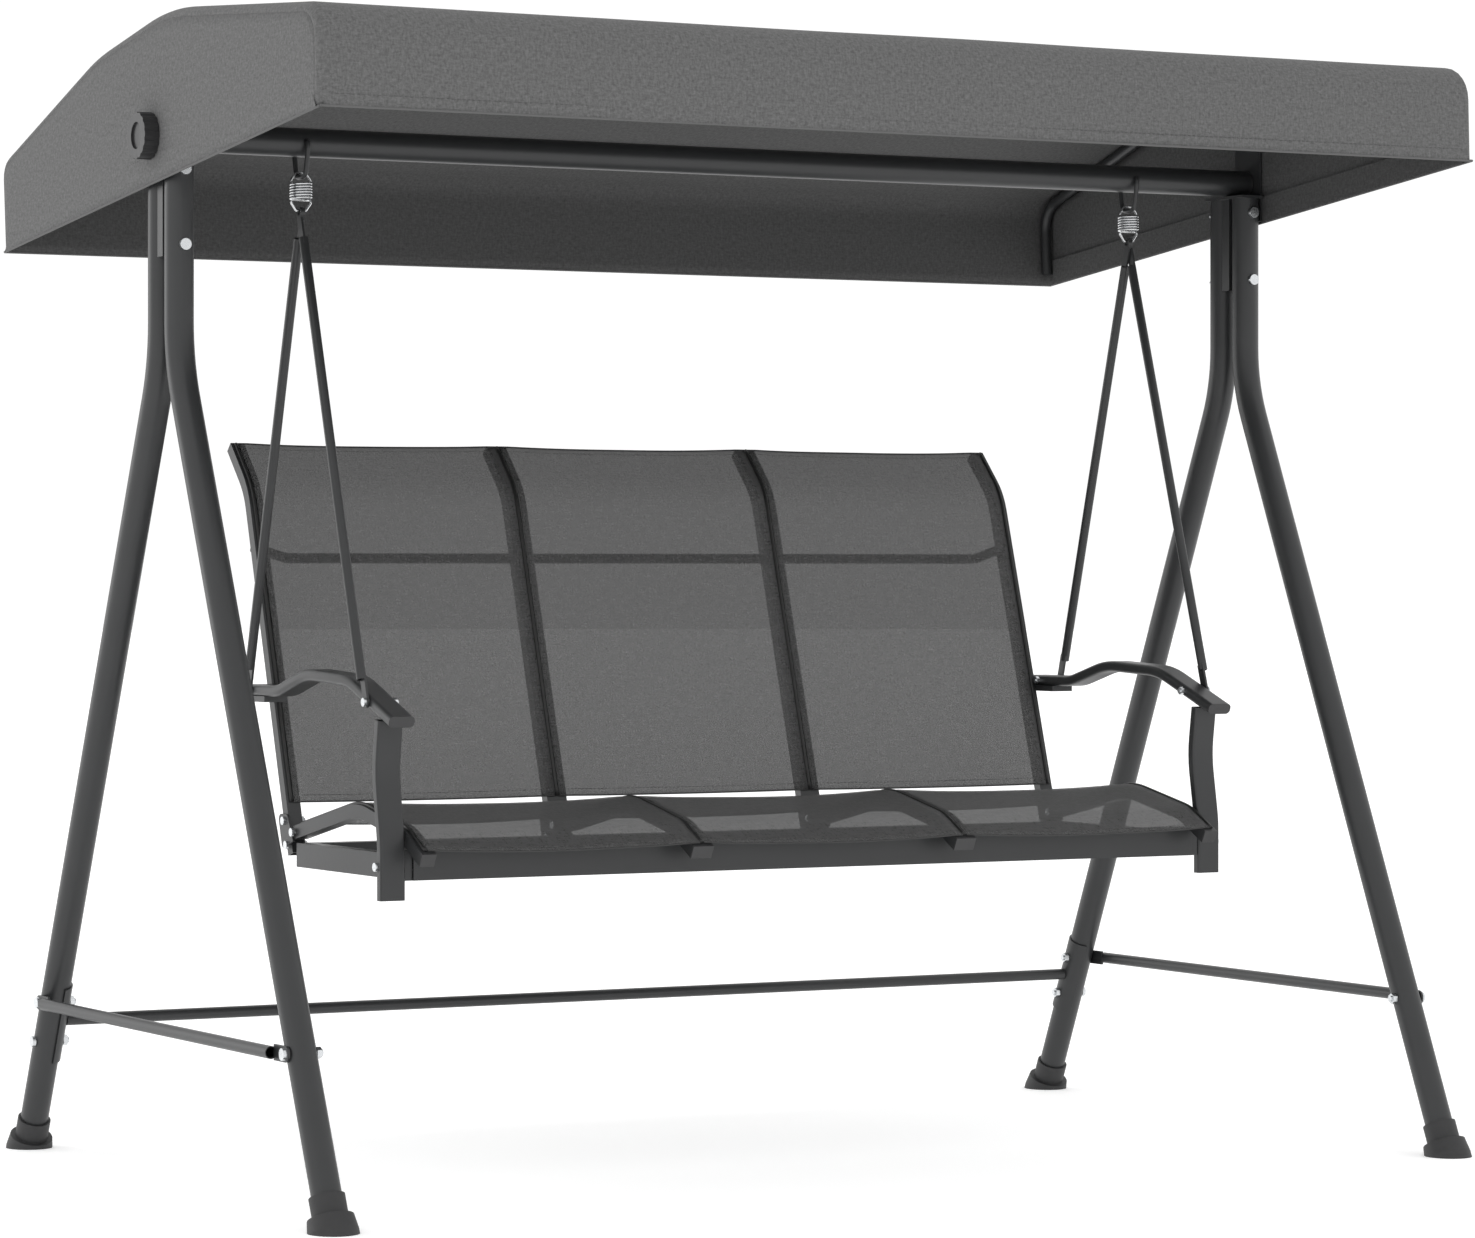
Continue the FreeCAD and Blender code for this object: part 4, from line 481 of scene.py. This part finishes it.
def make_cover_ends(route, cloth, shaded_lining, thread):
    """The two flat end panels, whose lower edge is turned up inside over the flat side strips."""
    low = Vector((route.points[0].x, route.points[0].y))
    high = Vector((route.points[-1].x, route.points[-1].y))
    fall = high - low
    up = Vector((-fall.y, fall.x)).normalized()
    start, end = low + fall * HEM_MARGIN, low + fall * (1 - HEM_MARGIN)
    for name, side in SIDES:
        rows = []
        for i in range(len(route.points)):
            top = route.at(i, 0, SHOULDER + CLOTH / 2)
            foot = low + fall * inside(FOOT_MARGIN, route.run[i] / route.length)
            row = []
            for k in range(END_ROWS + 1):
                y, z = Vector((top.y, top.z)).lerp(foot, k / END_ROWS)
                rim = min(1.0, k / RISE_ROWS, (END_ROWS - k) / RISE_ROWS)
                away = min(1.0, max(0.0, (math.hypot(y, z - BAR_Z) - KNOB_FLAT) / KNOB_FADE))
                uneven = unevenness(side, y, z, END_LUMPS, seed=7.7)
                bulge = END_BULGE * rim * away * (1 + uneven)
                row.append((Vector((side * (END_PANEL_X + bulge), y, z)), (y, z)))
            rows.append(row)
        panel = piece_from(f"canopy_cover_end_{name}", cloth_grid(rows), cloth, "canopy")
        thicken(panel, CLOTH, shaded_lining)
        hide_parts(f"canopy_end_panel_{name}")

        line = [Vector((side * END_PANEL_X, *start.lerp(end, k / FOOT_STEPS)))
                for k in range(FOOT_STEPS + 1)]
        rolled = bmesh.new()
        cord_round(rolled, line, HEM_ROLL, ROUND_SIDES)
        hem = piece_from(f"canopy_end_hem_{name}", rolled, cloth, "canopy")

        # The turned-up edge stops at each side of the pivot plate.
        folded = bmesh.new()
        uv = folded.loops.layers.uv.new("cloth")
        for y_from, y_to in TURN_UP_RUNS:
            stations = [low + fall * ((y - low.x) / fall.x) + up * TURN_UP_LIFT
                        for y in spread(y_from, y_to, EDGE_STEP)]
            for a, b in zip(stations, stations[1:]):
                corners = [a, b, b + up * TURN_UP, a + up * TURN_UP]
                face = folded.faces.new([folded.verts.new((side * TURN_UP_X, *c)) for c in corners])
                for loop, c in zip(face.loops, corners):
                    loop[uv].uv = c
        bmesh.ops.remove_doubles(folded, verts=folded.verts, dist=WELD)
        # The turned-up edge takes the darker lining: painted shade inside the end panel.
        turned_up = piece_from(f"canopy_end_turn_up_{name}", folded, shaded_lining, "canopy")
        thicken(turned_up, TURN_UP_CLOTH)

        sewn = bmesh.new()
        face = side * (END_PANEL_X + CLOTH / 2 + ROW_LIFT)
        shares = [inside(ROW_MARGIN, k / FOOT_STEPS) for k in range(FOOT_STEPS + 1)]
        path = [Vector((face, *(start.lerp(end, share) + up * TURN_UP))) for share in shares]
        stitches(sewn, path, Vector((side, 0, 0)))
        rows_sewn = piece_from(f"canopy_end_stitches_{name}", sewn, thread, "canopy")

        rim = [route.at(i, 0, SHOULDER + CLOTH / 2) for i in range(len(route.points))]


# ---------------------------------------------------------------- slings

# The slings' outlines from the side: y, z and the radius of the bend there.
SEAT_ROUTE = [(-0.2812, 0.4422, 0), (-0.2284, 0.4693, 0.0902), (-0.085, 0.4974, 0.1602),
              (0.104, 0.460, 0)]
BACK_ROUTE = [(0.1397, 0.487, 0), (0.2709, 0.9109, 0.1092), (0.3294, 0.9706, 0)]
SEAT_SAG = 5 * MM
BACK_SAG = 4 * MM
# Size of the lumps in a sling's hang, and the share of its sag that they take or add.
SLING_LUMPS = 0.16
SLING_UNEVEN = 0.25
SLING = 1.6 * MM
# Stations this far apart along a sling and across it.
SLING_STEP = 9 * MM
SLING_ACROSS_STEP = 13 * MM
# Width of the taut strip along each long edge, and depth of the hem at each short end.
SLING_TAUT = 18 * MM
SLING_HEM = 13 * MM
EDGE_CORD = 1.1 * MM
EDGE_CORD_INSET = 0.2 * MM
# How deep the cords in the rails' slots lie, their planes and their radii.
SLOT_CORD_INSET = 0.3 * MM
SLOT_CORDS = ((-0.5975, 2.6 * MM), (-0.2, 2.5 * MM), (0.2, 2.5 * MM), (0.5975, 2.6 * MM))
BAYS = (("left", -0.594, -0.203), ("centre", -0.197, 0.197), ("right", 0.203, 0.594))


def make_sling(kind, bay, low, high, corners, sag, cloth, edge, thread):
    """One sling between two rails: taut at the rails, giving a little in the middle, its long edges
    folded round a cord that slides into the rail, its short ends hemmed."""
    route = Route(corners, SLING_STEP)
    middle, half = (low + high) / 2, (high - low) / 2
    columns = spread(low, high, SLING_ACROSS_STEP)
    rows = []
    for i in range(len(route.points)):
        y, z = route.points[i]
        row = []
        for x in columns:
            give = max(0.0, 1 - ((x - middle) / (half - SLING_TAUT)) ** 2)
            uneven = unevenness(x, y, z, SLING_LUMPS, seed=half * 40 + middle)
            hang = sag * give ** 0.8 * (1 + SLING_UNEVEN * uneven)
            row.append((route.at(i, x, hang), (x, route.run[i])))
        rows.append(row)
    sling = piece_from(f"sling_{kind}_{bay}", cloth_grid(rows), cloth, "seat")
    thicken(sling, SLING)
    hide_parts(f"{kind}_sling_{bay}")

    cords = bmesh.new()
    stations = range(len(route.points))
    for x in (low + EDGE_CORD, high - EDGE_CORD):
        line = [route.at(i, x, EDGE_CORD_INSET) for i in stations]
        cord_round(cords, line, EDGE_CORD, CORD_SIDES)
    for row in (rows[0], rows[-1]):
        cord_round(cords, [point for point, place in row], EDGE_CORD, CORD_SIDES)
    cord = piece_from(f"sling_{kind}_{bay}_edges", cords, edge, "seat")

    sewn = bmesh.new()
    for at_run in (SLING_HEM, route.length - SLING_HEM):
        i = min(stations, key=lambda k: abs(route.run[k] - at_run))
        lift = route.outward(i) * (SLING / 2 + ROW_LIFT)
        path = [point + lift for point, place in rows[i][1:-1]]
        stitches(sewn, path, route.outward(i), pitch=6 * MM)
    rows_sewn = piece_from(f"sling_{kind}_{bay}_stitches", sewn, thread, "seat")


def make_slot_cords(cord_finish):
    """Cords pressed into the rails' slots, one between two slings and one outside each end sling, drawn
    near black as painted shade of the slots.
    """
    for kind, corners in (("seat", SEAT_ROUTE), ("back", BACK_ROUTE)):
        route = Route(corners, SLING_STEP)
        cords = bmesh.new()
        for plane, radius in SLOT_CORDS:
            path = [route.at(i, plane, SLOT_CORD_INSET) for i in range(len(route.points))]
            cord_round(cords, path, radius, ROUND_SIDES)
        piece_from(f"slot_cords_{kind}", cords, cord_finish, "seat")


# ---------------------------------------------------------------- springs


def make_springs(wire):
    """The two coil springs between the hooks and the rods, which draw out when the seat bounces; this
    copy of the CAD mesh keeps their shape at rest.
    """
    solid = nodes["suspension_springs"]
    springs = bpy.data.objects.new("spring_coils", solid.data.copy())
    bpy.context.scene.collection.objects.link(springs)
    springs.data.materials.clear()
    springs.data.materials.append(wire)
    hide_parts("suspension_springs")
    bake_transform(springs)


# ---------------------------------------------------------------- room

# Name, place, width and height, and watts.
LAMPS = (("key_left", (-6.5, -1.5, 2.6), (3.5, 4.0), 8), ("rim_left", (-5.0, 6.0, 2.4), (2.5, 4.0), 60))
FLOOR_RADIUS = 60.0


def make_room():
    """A pale floor that meets a pale surround, a soft key lamp at the left and a rim lamp behind it."""
    ground = bmesh.new()
    bmesh.ops.create_circle(ground, cap_ends=True, segments=64, radius=FLOOR_RADIUS)
    mesh = bpy.data.meshes.new("studio_floor")
    ground.to_mesh(mesh)
    ground.free()
    floor = bpy.data.objects.new("studio_floor", mesh)
    bpy.context.scene.collection.objects.link(floor)
    floor_paint = new_finish("studio_floor_paint", Roughness=0.9, Base_Color=linear("#f4f4f4"),
                             Emission_Color=linear("#ffffff"), Emission_Strength=0.33)[0]
    mesh.materials.append(floor_paint)

    world = bpy.data.worlds.new("studio")
    world.use_nodes = True
    bpy.context.scene.world = world
    backdrop = world.node_tree.nodes["Background"]
    backdrop.inputs["Color"].default_value = (1, 1, 1, 1)
    backdrop.inputs["Strength"].default_value = 1.06

    aim = Vector((0, 0, 0.9))
    for name, place, size, watts in LAMPS:
        lamp = bpy.data.lights.new(name, "AREA")
        lamp.shape = "RECTANGLE"
        lamp.size, lamp.size_y = size
        lamp.energy = watts
        light = bpy.data.objects.new(name, lamp)
        light.location = place
        light.rotation_mode = "QUATERNION"
        light.rotation_quaternion = (aim - Vector(place)).to_track_quat("-Z", "Y")
        bpy.context.scene.collection.objects.link(light)


def make_camera():
    """A long lens at hip height, turned 28.7 degrees to the right, its frame dropped a little."""
    lens = bpy.data.cameras.new("camera")
    lens.sensor_width = 36.0
    lens.lens = 122.7
    lens.shift_y = -0.034
    camera = bpy.data.objects.new("camera", lens)
    camera.location = (-3.305, -6.049, 0.799)
    camera.rotation_euler = (math.radians(90), 0, math.radians(-28.7))
    bpy.context.scene.collection.objects.link(camera)
    bpy.context.scene.camera = camera
    bpy.context.scene.view_settings.view_transform = "Standard"


# ---------------------------------------------------------------- putting it together

paint = powder_coated_steel()
zinc = zinc_plated_steel()
wire = drawn_spring_wire()
FINISHES = {
    "frame_paint": paint, "zinc_hardware": zinc, "spring_steel": wire, "boot_pvc": moulded_pvc(),
    "knob_nylon": moulded_nylon("knob_nylon", "#1c1c1d", "#252526"),
    "cap_plastic": moulded_nylon("cap_nylon", "#2a2a2b", "#343435"),
}
for entry in frame["record"]["subparts"]:
    finish = FINISHES.get(entry.get("material_slot"))
    if finish:
        nodes[entry["node"]].data.materials.clear()
        nodes[entry["node"]].data.materials.append(finish)

make_camera()
make_room()
# The lining is the canopy cloth drawn darker: painted shade for the cover's inside.
canopy_cloth, shaded_lining, thread = canopy_polyester(), canopy_lining_painted_shade(), sewing_thread()
cover_route = make_cover_top(canopy_cloth, shaded_lining, thread)
make_cover_ends(cover_route, canopy_cloth, shaded_lining, thread)
# The edge cloth is the sling mesh drawn darker: painted shade of the doubled edge.
sling_cloth, edge_cloth = sling_mesh(), sewn_edge()
for bay, low, high in BAYS:
    make_sling("seat", bay, low, high, SEAT_ROUTE, SEAT_SAG, sling_cloth, edge_cloth, thread)
    make_sling("back", bay, low, high, BACK_ROUTE, BACK_SAG, sling_cloth, edge_cloth, thread)
# The slot cords' near-black is painted shade of the rails' slots.
make_slot_cords(moulded_nylon("slot_cord_painted_shade", "#0b0b0b", "#141414"))
make_springs(wire)
